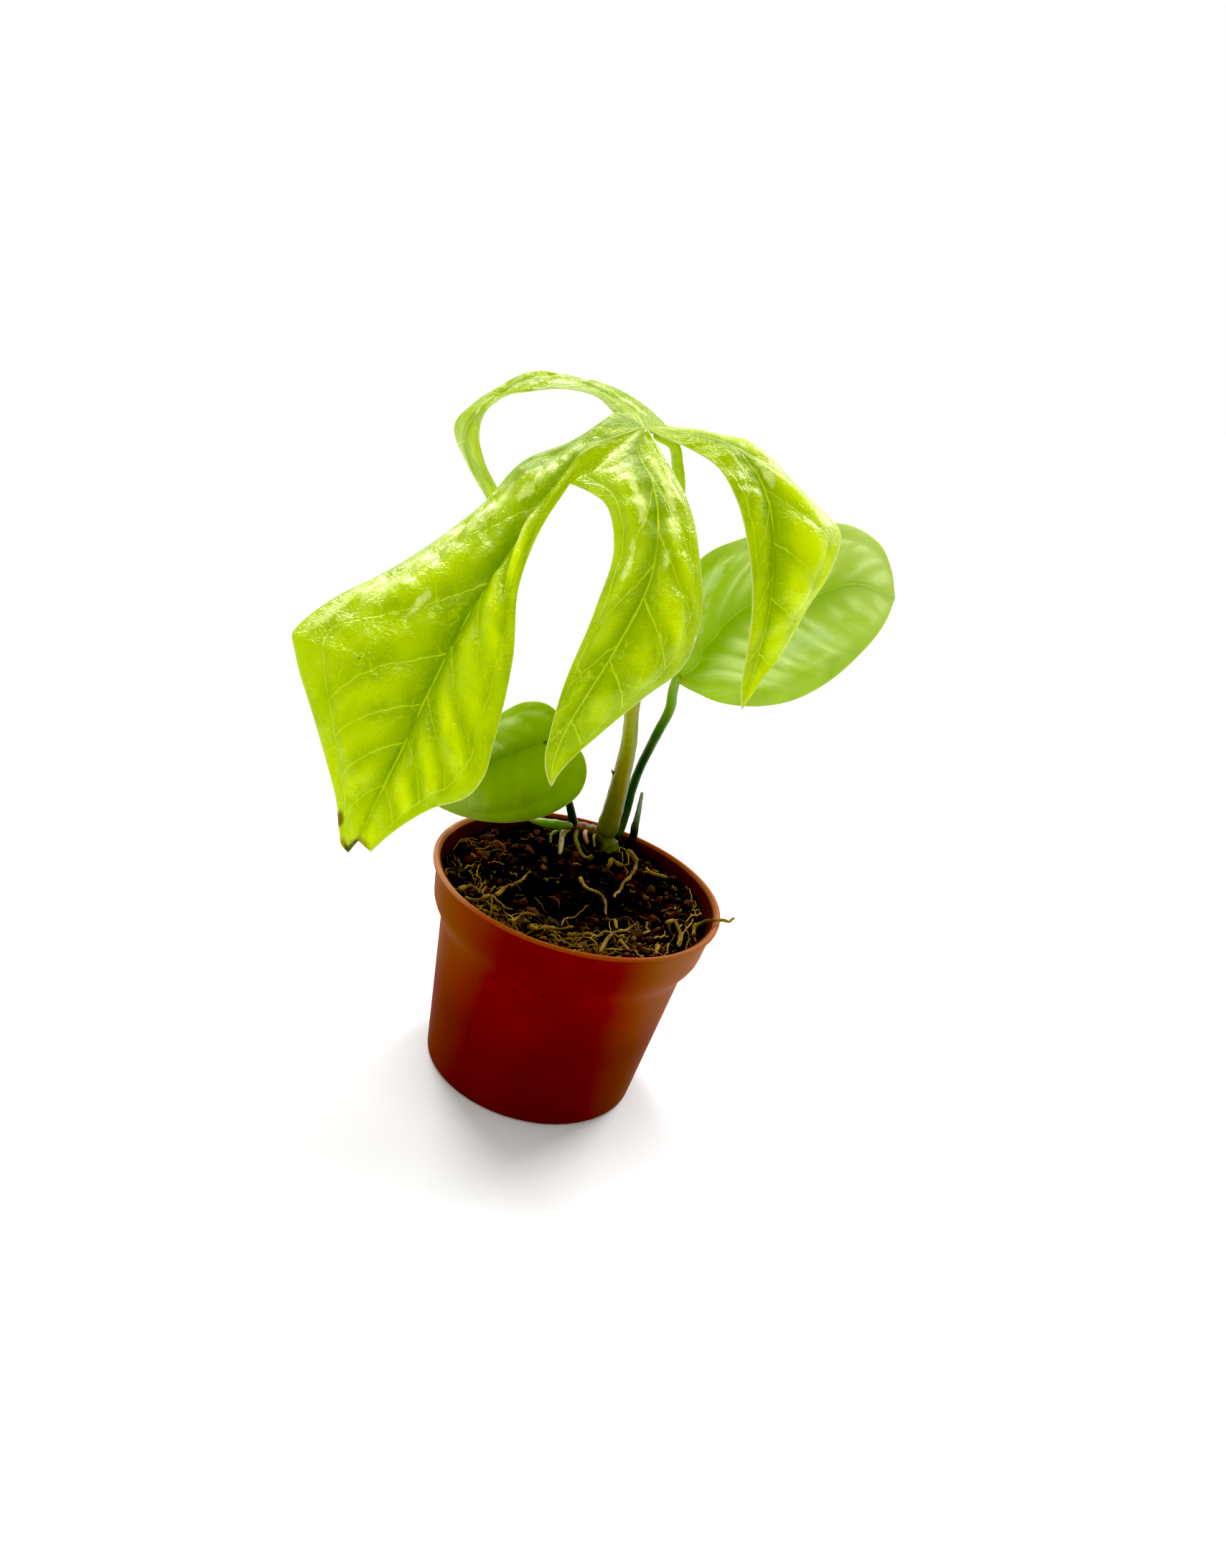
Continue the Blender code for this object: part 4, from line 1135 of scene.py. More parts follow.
        # Paleness: the painted light plus tone that differs at random.
        paler = to_tip + half_glow + 0.12 * waves(chart.grid, self.CLOUD_SIZE, self.seed + 90)
        return np.stack([glow, painted_shade, np.clip(paler, 0, 1)], -1)

    def silver(self, chart: Chart) -> Array:
        """How strongly the streaks, partly silver and partly painted highlight, show: the strongest of them,
        each a bell across.

        Args:
            chart: The blade's chart.

        Returns:
            One number a point.
        """
        silver = np.zeros_like(chart.signed)
        for place, *ends, reach in self.sheen:
            begun, ended = (
                smooth_step(chart.along, end - self.STREAK_EDGE, end + self.STREAK_EDGE) for end in ends
            )
            silver = np.maximum(silver, (begun - ended) * bell(chart.signed - place, reach))
        return silver

    def surface(self) -> Surface:
        """The blade as an open surface: the arched grid, moved along its normals by the lift.

        Returns:
            The surface, with "blade" holding the millimetres across, along and to the margin, "veins" the
            count of side veins and their spacing in millimetres, "tone" the painted light, the painted shade
            and the paleness, and the streaks that are partly silver and partly painted highlight.
        """
        chart = self.chart()
        steps = np.gradient(chart.grid, axis=0), np.gradient(chart.grid, axis=1)
        sizes = [np.maximum(np.linalg.norm(step, axis=2), 1e-6) for step in steps]
        chart.grid = chart.grid + self.lift(chart)[..., None] * unit(np.cross(*steps))
        counted = [np.gradient(chart.count, axis=k) / sizes[k] for k in (0, 1)]
        spacing = np.clip(1 / np.maximum(np.hypot(*counted), 1e-3), 0.5, 25.0)
        to_end = chart.length[-1] - chart.length + 0.05
        to_margin = np.minimum((1 - chart.out()) * chart.width + chart.seam * self.SEAM_MARGIN, to_end)
        values = {
            "blade": np.stack([chart.signed * chart.width, chart.length, to_margin], -1),
            "veins": np.stack([chart.count, spacing, np.ones_like(spacing)], -1),
            "tone": self.tone(chart),
            "sheen": np.stack([self.silver(chart)] * 3, -1),
        }
        return Surface.from_grid(chart.grid * MM, values)


def thick_blade(blades: Sequence[Blade], middle: float, edge: float, keel: float) -> Surface:
    """A leaf's blade as one closed wall, thinner at its margins, with a keel under each midrib.

    The thickness is edge plus (middle - edge) times a smooth step over 3 mm from the margin. Below it
    adds the keel times exp(-(across / 0.8 mm) squared), which shrinks towards the tip.

    Args:
        blades: The lobes, which share their seams.
        middle: The thickness away from the margins, in millimetres.
        edge: The thickness at the margins.
        keel: How far the midrib stands out below at its root.

    Returns:
        The wall.
    """
    surface = Surface.joined([blade.surface() for blade in blades]).welded(1e-9)
    across, along, margin = surface.values["blade"].T
    half = (edge + (middle - edge) * smooth_step(margin, 0.0, 3.0)) / 2 * MM
    left_over = np.clip(1 - along / max(along.max(), 1.0), 0, 1)
    ridge = keel * bell(across, 0.8) * (0.25 + 0.75 * left_over) * smooth_step(margin, 0.0, 1.5)
    return surface.thickened(half, half + ridge * MM, "veins")


@dataclass(frozen=True)
class Stalk:
    """Anything grown round a line, from its top or its front end on. Sizes in millimetres.

    Its radii and its colours stand at even distances. The noise is how far from the line it is read, its
    size and its height as a share. Narrow rings stand out at a distance from each other, or not at 0.
    """

    centres: tuple[Point, ...]
    radii: tuple[float, ...]
    colours: tuple[Colour, ...]
    seed: int = 5
    steps: int = 130
    sides: int = 22
    noise: tuple[float, float, float] = (0.8, 2.5, 0.02)
    ring_every: float = 0.0

    RING_HEIGHT = 0.10
    RING_DARKENING = 0.35
    RING_POWER = 12

    def form(self, share: Array, angle: Array) -> Array:
        """The factor on the radius before noise, by the share along and the angle round: 1."""
        return np.ones((len(share), len(angle)))

    def surface(self) -> Surface:
        """The stalk: its radius times its form and noise, with rings of cos to the power 12 along it."""
        share = np.linspace(0, 1, self.steps)
        path = smooth_path(self.centres, share)
        angle, level = circle(self.sides)
        off_line, size, height = self.noise
        relief = self.form(share, angle) + height * waves(path[:, None] + off_line * level, size, self.seed)
        rings = np.zeros(self.steps)
        if self.ring_every:
            rings = np.cos(math.pi * travelled(path) / self.ring_every) ** self.RING_POWER
        radii = graded(self.radii, share) * (1 + self.RING_HEIGHT * rings)
        tint = graded(self.colours, share) * (1 - self.RING_DARKENING * rings[:, None])
        return tube(path * MM, radii * MM, self.sides, tint, relief)


@dataclass(frozen=True)
class Petiole(Stalk):
    """A leaf's stalk, from the blade down."""

    CHANNEL = 0.12
    CHANNEL_REACH = 0.5

    def form(self, share: Array, angle: Array) -> Array:
        """1 less the channel along its upper side, a bell of the angle."""
        return 1 - self.CHANNEL * bell(angle - math.pi, self.CHANNEL_REACH)[None]


# Where the four veins of the split leaf part, and the notches between its lobes, in millimetres
JUNCTION = (-10.5, -2.5, 134.5)
NOTCH_TERMINAL_BACK = (-16.5, 2.0, 135.0)
NOTCH_TERMINAL_MIDDLE = (-20.0, -11.0, 123.0)
NOTCH_MIDDLE_RIGHT = (-9.5, -4.5, 134.5)
NOTCH_RIGHT_BACK = (-6.5, 0.0, 135.5)

# The lobes' glow, dim root, tip glow and half glow numbers paint light and shade into their colour, and their
# streaks are partly silver and partly painted highlight.
TERMINAL_LOBE = Blade(
    left=(NOTCH_TERMINAL_BACK, (-22.5, 1, 128.5), (-30, -1, 123), (-34.5, -5, 115), (-39.5, -10, 108.5),
          (-47.5, -20, 100.5), (-52.5, -25, 96.6), (-55.5, -29, 93.4), (-56.9, -31.8, 91.1), (-57, -33, 90.4),
          (-56.5, -33.8, 89.6), (-55.8, -34.4, 88.5), (-54.3, -36, 86.4), (-50.1, -39.5, 81.3),
          (-45.1, -43, 74.3), (-41.5, -45.4, 68.4), (-40.2, -46.3, 64.7), (-39.1, -47, 62.3),
          (-37.7, -47.4, 61.5)),
    vein=(JUNCTION, (-19, -6, 128.5), (-23.5, -12, 118.5), (-26.5, -17, 110), (-29.5, -23, 101.5),
          (-32, -31, 90.5), (-33.5, -38, 81), (-35.5, -45, 69.5), (-36.5, -47, 64)),
    right=(NOTCH_TERMINAL_MIDDLE, (-22.5, -17, 115), (-23, -24, 106), (-20.5, -31, 96.5),
           (-19.5, -39, 82.5), (-19.5, -41, 78.5), (-21, -42, 75), (-26.5, -44, 71.5), (-32, -47, 66),
           (-34, -48, 63)),
    rise=(2.6, 1.8),
    left_veins=SideVeins((0.08, 0.26, 0.45, 0.61, 0.72, 0.80, 0.885),
                         (0.30, 0.53, 0.72, 0.83, 0.865, 0.92, 0.965)),
    right_veins=SideVeins((0.18, 0.32, 0.46, 0.59, 0.70, 0.79, 0.885),
                          (0.30, 0.50, 0.65, 0.77, 0.845, 0.89, 0.945)),
    root_share=0.13, rows=230, columns=40, quilt=(0.55, 1.0), ripple=0.15, glow=(0.4, 1.15),
    dim_root=(0.9, 0.0),
    sheen=((-0.30, 0.20, 0.31, 0.12), (-0.58, 0.29, 0.42, 0.14), (-0.78, 0.37, 0.62, 0.13),
           (-0.9, 0.58, 0.69, 0.08), (-0.42, 0.52, 0.60, 0.06), (0.35, 0.26, 0.36, 0.14)),
    seed=3,
)
MIDDLE_LOBE = Blade(
    left=(NOTCH_TERMINAL_MIDDLE, (-17, -13, 123), (-12.5, -17, 122), (-9.5, -21, 117), (-9.5, -27, 107),
          (-11.1, -34, 93.5), (-11.1, -36.3, 87.2), (-10.9, -37.2, 83.2), (-10.4, -37.6, 81.4),
          (-9.6, -37.9, 80), (-8.6, -38.1, 78.7)),
    vein=(JUNCTION, (-10, -8, 131), (-6, -15, 127.5), (-3.5, -20, 123), (-2, -27, 113.5),
          (-3.5, -31, 106), (-6, -34, 97.5), (-8.8, -36.4, 88), (-9.3, -37.4, 83), (-8.6, -38.1, 78.7)),
    right=(NOTCH_MIDDLE_RIGHT, (-4.5, -9, 130.5), (1, -15, 125.5), (5, -21, 118.5), (8, -25, 108.5),
           (7, -28, 101.5), (2.5, -31, 96), (-2.5, -34, 89.5), (-7, -37.2, 83), (-8.2, -38, 80.5),
           (-8.6, -38.1, 78.7)),
    rise=(1.6, 1.8),
    left_veins=SideVeins.even(4, 0.22, 0.84, 0.36),
    right_veins=SideVeins.even(5, 0.18, 0.84, 0.38),
    root_share=0.09, rows=190, columns=28, quilt=(0.3, 0.7), ripple=0.13, glow=(0.4, 0.9), tip_glow=-0.4,
    sheen=((-0.5, 0.02, 0.10, 0.25), (-0.34, 0.14, 0.34, 0.16), (-0.52, 0.35, 0.47, 0.12),
           (0.38, 0.12, 0.39, 0.2), (0.22, 0.39, 0.46, 0.1)),
    seed=13,
)
RIGHT_LOBE = Blade(
    left=(NOTCH_MIDDLE_RIGHT, (-6, -5, 134), (-1.5, -6, 133.5), (4, -8, 132), (8.5, -11, 128),
          (12.5, -14, 121.5), (16, -16, 112.5), (17.5, -17, 104.5), (18.6, -17.9, 97), (19.6, -18.2, 94.3)),
    vein=(JUNCTION, (-7.5, -2.5, 135), (-2, -3, 135.5), (4.5, -3, 135.5), (10, -5, 133), (14.5, -8, 128),
          (17, -11, 121), (19, -14, 112.5), (19.5, -16, 103.5), (19.6, -18.2, 94.3)),
    right=(NOTCH_RIGHT_BACK, (-3.5, 1, 136), (2.5, 2, 136.5), (10, 3, 136), (18.5, 3, 131.5),
           (25.5, 1, 128), (28, 0, 126.5), (28.5, -5, 120), (26, -9, 112.5), (24, -13, 105.5),
           (21, -17, 98.5), (19.6, -18.2, 94.3)),
    rise=(1.0, 1.6),
    left_veins=SideVeins.even(4, 0.24, 0.82, 0.3),
    right_veins=SideVeins.even(5, 0.24, 0.84, 0.32),
    root_share=0.05, rows=180, columns=24, quilt=(0.2, 0.7), glow=(0.4, 1.3), half_glow=(0.0, 0.6),
    tip_glow=0.2,
    sheen=((-0.34, 0.24, 0.37, 0.1), (0.5, 0.12, 0.24, 0.22), (0.14, 0.30, 0.40, 0.09),
           (0.78, 0.42, 0.58, 0.18)),
    seed=23,
)
BACK_LOBE = Blade(
    left=(NOTCH_RIGHT_BACK, (-12, 6, 137.5), (-18.5, 11, 138.5), (-26, 15, 138), (-35, 18, 136.5),
          (-40.5, 20, 132), (-45, 22, 127.5), (-48, 23, 122.5), (-43.5, 23, 115), (-36.5, 21, 110),
          (-37, 18, 98.5), (-37, 15, 88.5)),
    vein=(JUNCTION, (-13, 3, 136), (-18.5, 8, 137), (-25.5, 12, 137.5), (-34, 15, 135.5),
          (-39, 17, 131.5), (-43, 18, 127), (-44.5, 18.5, 122.5), (-42.5, 18, 117.5), (-37, 17, 110.5),
          (-34, 16, 100), (-36.5, 15, 88.5)),
    right=(NOTCH_TERMINAL_BACK, (-20.5, 6, 136.5), (-27, 9, 136), (-33.5, 12, 133.5), (-38.5, 14, 131),
           (-41.5, 15, 126.5), (-41.5, 15.5, 122.5), (-39.5, 15, 118.5), (-34, 15, 111.5),
           (-31.5, 14, 101), (-36, 15, 88.5)),
    rise=(0.5, 0.5),
    left_veins=SideVeins.even(6, 0.15, 0.88, 0.14),
    right_veins=SideVeins.even(6, 0.18, 0.88, 0.14),
    root_share=0.06, rows=200, columns=18, quilt=(0.15, 0.15), glow=(0.3, 0.3), dim_root=(0.6, 0.8),
    sheen=((-0.4, 0.07, 0.20, 0.15), (-0.3, 0.30, 0.37, 0.15), (0.0, 0.46, 0.54, 0.25)),
    seed=33,
)
OVAL_BASE = (7.5, 9.0, 88.5)
OVAL_BLADE = Blade(
    left=(OVAL_BASE, (9.5, 9, 88), (15.5, 8.5, 86.5), (23.5, 8, 87.5), (31, 8, 91), (36, 9, 95.5),
          (40.5, 10.5, 102), (44, 13, 110), (44.5, 14.5, 114.5)),
    vein=(OVAL_BASE, (10, 9.5, 90.5), (12.5, 11, 97), (15, 12, 102.5), (18, 13, 106), (28, 14, 110),
          (36.5, 15, 115), (44.5, 14.5, 114.5)),
    right=(OVAL_BASE, (6, 12, 94), (4.5, 15, 102), (4.5, 18, 107.5), (7, 19.5, 112), (13.5, 21, 117),
           (22.5, 22, 121.5), (33.5, 22, 124.5), (39, 20, 123), (42.5, 17, 119), (44.5, 14.5, 114.5)),
    rise=(1.4, 1.2),
    left_veins=SideVeins.even(9, 0.16, 0.9, 0.42, 1.25),
    right_veins=SideVeins.even(9, 0.16, 0.9, 0.42, 1.25),
    rows=180, columns=44, quilt=(0.3, 0.3), ripple=0.06, glow=(1.1, 1.1),
    sheen=((0.62, 0.12, 0.42, 0.2), (-0.5, 0.45, 0.7, 0.15)), seed=43,
)
HEART_BASE = (-14.2, 13.0, 66.6)
HEART_BLADE = Blade(
    left=(HEART_BASE, (-12.4, 14.4, 68.4), (-12.6, 16.6, 71.2), (-16.2, 19, 72.7), (-21, 20, 71.5),
          (-24.5, 20, 68.5), (-28.5, 18, 63), (-32.5, 14, 56.5), (-34, 10, 51.5), (-34.5, 8, 48.5)),
    vein=(HEART_BASE, (-19.5, 12.5, 62.5), (-24.5, 11.5, 58.5), (-29.5, 10, 53.5), (-34.5, 8, 48.5)),
    right=(HEART_BASE, (-10.5, 13, 67.5), (-7, 13, 67), (-4.5, 12, 63.5), (-4.5, 11, 59), (-7.5, 10, 54.5),
           (-14, 9, 50), (-21, 8, 48), (-27.5, 8, 47.5), (-34.5, 8, 48.5)),
    rise=(1.2, 1.2),
    left_veins=SideVeins.even(6, 0.16, 0.72, 0.5, 1.2),
    right_veins=SideVeins.even(6, 0.16, 0.72, 0.5, 1.2),
    rows=140, columns=34, quilt=(0.35, 0.15), ripple=0.05, glow=(1.2, 0.1), seed=53,
)

OLIVE = linear(150, 158, 40)
OLIVE_DARK = linear(96, 100, 20)
LIME_STALK = linear(184, 214, 8)
DEEP_GREEN = linear(34, 76, 4)
MAIN_PETIOLE = Petiole(
    centres=((-7.6, -2.8, 133.9), (-4.8, -2.4, 133.2), (-2.9, -1, 129.5), (-0.1, 6, 108.6), (0.7, 10, 93),
             (1, 14, 79.4), (2.4, 17.3, 70), (2.9, 19.4, 61), (3.1, 21, 52.7), (3.1, 21.6, 48)),
    radii=(1.0, 1.25, 1.3, 1.3, 1.35, 1.5, 1.65, 1.85, 2.1, 2.5),
    colours=(LIME_STALK, LIME_STALK, linear(130, 165, 20), linear(140, 160, 30), linear(158, 166, 52), OLIVE,
             linear(130, 122, 26), OLIVE_DARK),
)
OVAL_PETIOLE = Petiole(
    centres=((7.9, 9.2, 88.7), (7.9, 10, 86), (8.4, 12, 81.6), (7.5, 15.5, 74.5), (6.9, 19, 69.4),
             (6.2, 21.5, 64), (5.8, 23.6, 57), (5.9, 24.6, 51), (5.6, 24.2, 46.4)),
    radii=(0.95, 1.1, 1.05, 1.05, 1.0, 1.0, 1.05, 1.1, 1.2),
    colours=(linear(120, 160, 24), linear(96, 140, 22), linear(52, 100, 12), DEEP_GREEN, linear(30, 62, 5),
             DEEP_GREEN, DEEP_GREEN, linear(60, 80, 15)),
    seed=6,
)
HEART_PETIOLE = Petiole(
    centres=((-14.4, 13.3, 66.3), (-12.6, 15.8, 62), (-9.4, 18, 56.8), (-6.6, 20, 52), (-4.6, 21.3, 47.3)),
    radii=(0.65, 0.75, 0.75, 0.85, 1.0),
    colours=(linear(60, 100, 10), DEEP_GREEN, linear(26, 50, 6), linear(30, 50, 8)),
    seed=7,
)


@dataclass
class Leaf:
    """A leaf: its lobes, its petiole and its finish, with its thickness in millimetres.

    The node that it stands for also names its pieces. The edge is its thickness at the
    margins, and the keel is how far the midrib stands out below.
    """

    node: str
    blades: tuple[Blade, ...]
    stalk: Petiole
    finish: LeafFinish
    thickness: float = 0.42
    edge: float = 0.2
    keel: float = 0.7

    def build(self) -> tuple[Surface, Surface]:
        """The blade and the stalk."""
        return thick_blade(self.blades, self.thickness, self.edge, self.keel), self.stalk.surface()

    def dress(self, stalk_finish: Material) -> None:
        """Makes the blade's and the stalk's pieces."""
        blade, stalk = self.build()
        blade.piece(self.node + "_blade", self.finish.material(), self.node, self.node)
        stalk.piece(self.node + "_petiole", stalk_finish, self.node, self.node)


@dataclass
class PetioleSheath:
    """The thin papery wing along the main petiole's foot, with its bristle tip. Sizes in millimetres."""

    outer: tuple[Point, ...] = (
        (0.6, 21.4, 49.4), (1, 20.9, 52.1), (1.1, 19.8, 57.5), (1.1, 19.2, 60.5), (0.3, 18.6, 62.6)
    )
    inner: tuple[Point, ...] = (
        (2.8, 21.4, 49.4), (2.9, 21, 52), (2.8, 20, 57.5), (2.5, 19.3, 60.3), (2.2, 18.6, 62)
    )
    rows: int = 60
    columns: int = 12
    length: float = 13.0
    thickness: float = 0.22
    curl: float = 0.5
    crease: float = 0.12
    green: Colour = linear(140, 150, 40)
    dry: Colour = linear(110, 70, 30)

    def build(self) -> Surface:
        """The wing: straight across, bowed by curl sin(pi share), browned at its outer edge and tip."""
        along = np.linspace(0, 1, self.rows)
        outer, inner = smooth_path(self.outer, along), smooth_path(self.inner, along)
        share = np.linspace(0, 1, self.columns)[None, :, None]
        grid = outer[:, None] * (1 - share) + inner[:, None] * share
        across, down = np.broadcast_arrays(share[..., 0], along[:, None] * self.length)
        grid[..., 1] -= self.curl * np.sin(math.pi * across) + self.crease * waves(grid, 3.0, 9)
        brown = smooth_step(1 - share, 0.6, 0.95) + smooth_step(along, 0.8, 1.0)[:, None, None]
        tint = np.array(self.green) + np.clip(brown, 0, 1) * (np.array(self.dry) - np.array(self.green))
        values = {"tint": tint, "stalk": np.stack([across, np.zeros_like(across), down], -1)}
        half = np.full(across.size, self.thickness / 2 * MM)
        return Surface.from_grid(grid * MM, values).thickened(half, half, "stalk")

    def dress(self, finish: Material) -> None:
        """Makes the piece with the stalks' finish."""
        self.build().piece("petiole_sheath", finish, "split_leaf", "split_leaf")


# The pot and what it holds


@dataclass
class Pot:
    """The turned plastic pot with its lip, collar and drain holes. Sizes in millimetres."""

    height: float = 45.0
    rim_radius: float = 30.0
    foot_radius: float = 22.4
    wall: float = 1.2
    floor: float = 1.5
    lip_depth: float = 1.0
    lip_width: float = 0.9
    lip_rounding: float = 0.34
    collar_top_radius: float = 29.2
    collar_bottom: float = 35.4
    collar_radius: float = 28.1
    collar_blend: Flat = (1.2, 1.8)
    body_top: float = 32.6
    body_top_radius: float = 25.9
    foot_rounding: float = 1.0
    holes: int = 6
    hole_radius: float = 2.4
    hole_circle: float = 13.0
    hole_block: float = 5.0
    hole_rings: int = 6
    steps_each: int = 32
    wall_steps: int = 14
    crease: float = 50.0

    def arc(self, radius: float, height: float, rounding: float, start: float, end: float) -> list[Flat]:
        """Points on a circle round (radius, height), from one angle to another in degrees from outwards."""
        angles = np.radians(np.linspace(start, end, int(abs(end - start) // 15) + 1))
        return [(radius + rounding * math.cos(a), height + rounding * math.sin(a)) for a in angles]

    def inner_profile(self) -> list[Flat]:
        """The inner side from the floor up to the lip."""
        floor_edge = (self.foot_radius - self.foot_rounding - self.wall, self.floor)
        low, high = self.floor + self.foot_rounding, self.body_top
        near, far = self.foot_radius - self.wall, self.body_top_radius - self.wall
        shares = np.linspace(0, 1, self.wall_steps + 1)[1:-1]
        wall = [(near + s * (far - near), low + s * (high - low)) for s in shares]
        collar = (self.collar_radius - self.wall, self.collar_bottom + self.wall)
        collar_top = (self.collar_top_radius - self.wall, self.height - self.lip_depth)
        half = self.lip_rounding / 2
        lip = self.arc(self.rim_radius - self.lip_width + half, self.height - half, half, 180, 90)
        return [floor_edge, (near, low), *wall, (far, high), collar, collar_top, *lip]

    def outer_profile(self) -> list[Flat]:
        """The outer side from the top of the lip down to the foot.

        Below the lip the radius is the body's straight taper plus its distance to the collar's times a
        smooth step from the body's top to the collar's full width.

        Returns:
            The points (radius, height).
        """
        r, f = self.lip_rounding, self.foot_rounding
        lip_foot = self.height - self.lip_depth
        lip = self.arc(self.rim_radius - r, self.height - r, r, 90, 0)
        lip += self.arc(self.rim_radius - r, lip_foot + r, r, -15, -75)
        heights = np.linspace(lip_foot - 0.1, f, self.wall_steps * 3)
        along_body = (heights - f) / (self.body_top - f)
        body = self.foot_radius + (self.body_top_radius - self.foot_radius) * along_body
        down_collar = (heights - self.collar_bottom) / (lip_foot - self.collar_bottom)
        collar = self.collar_radius + (self.collar_top_radius - self.collar_radius) * down_collar
        below, above = self.collar_blend
        share = smooth_step(heights, self.body_top - below, self.collar_bottom + above)
        wall = list(zip(body + (collar - body) * share, heights))
        return [*lip, *wall, *self.arc(self.foot_radius - f, f, f, 0, -90)[1:]]

    def hole_surfaces(self) -> list[Surface]:
        """The parts of the floor with a hole each.

        A part is a block in (radius, angle) round its hole. Its rows go from the block's edge below to the
        hole, up the hole's wall and back out to the edge above.

        Returns:
            One surface for each hole.
        """
        n = self.steps_each
        side = np.linspace(-1, 1, n + 1)[:-1]
        one = np.ones(n)
        x, y = np.concatenate([one, -side, -one, side]), np.concatenate([side, one, -side, -one])
        half_turn = math.pi / self.holes
        shares = np.linspace(0, 1, self.hole_rings)[:, None, None]
        height = np.repeat([0.0, self.floor], self.hole_rings)[:, None, None] * np.ones((1, 4 * n, 1))
        made = []
        for i in range(self.holes):
            middle = 2 * half_turn * (i + 0.5)
            radius, angle = self.hole_circle + self.hole_block * x, middle + half_turn * y
            edge = np.stack([radius * np.cos(angle), radius * np.sin(angle)], -1)
            centre = self.hole_circle * np.array([math.cos(middle), math.sin(middle)])
            inward = edge + shares * (centre + self.hole_radius * unit(edge - centre) - edge)
            flat = np.concatenate([inward, inward[::-1]])
            made.append(Surface.from_grid(np.concatenate([flat, height], -1) * MM, ring=True))
        return made

    def build(self) -> Surface:
        """The pot: its turned wall, the floor round the holes and the middle of the floor."""
        around = self.holes * self.steps_each
        angles = np.arange(around) * FULL_TURN / around
        outside, inside = self.hole_circle + self.hole_block, self.hole_circle - self.hole_block
        wall = [(outside, self.floor), *self.inner_profile(), *self.outer_profile(), (outside, 0.0)]
        top = [(0.0, self.floor), (inside / 2, self.floor), (inside, self.floor)]
        bottom = [(inside, 0.0), (inside / 2, 0.0), (0.0, 0.0)]
        grids = [turned(np.array(profile) * MM, angles) for profile in (wall, top, bottom)]
        parts = [Surface.from_grid(grid, ring=True) for grid in grids]
        return Surface.joined([*parts, *self.hole_surfaces()]).welded()

    def dress(self) -> None:
        """Makes the piece."""
        self.build().piece("pot_wall", PlasticFinish().material(), "pot", "pot", sharp=self.crease)


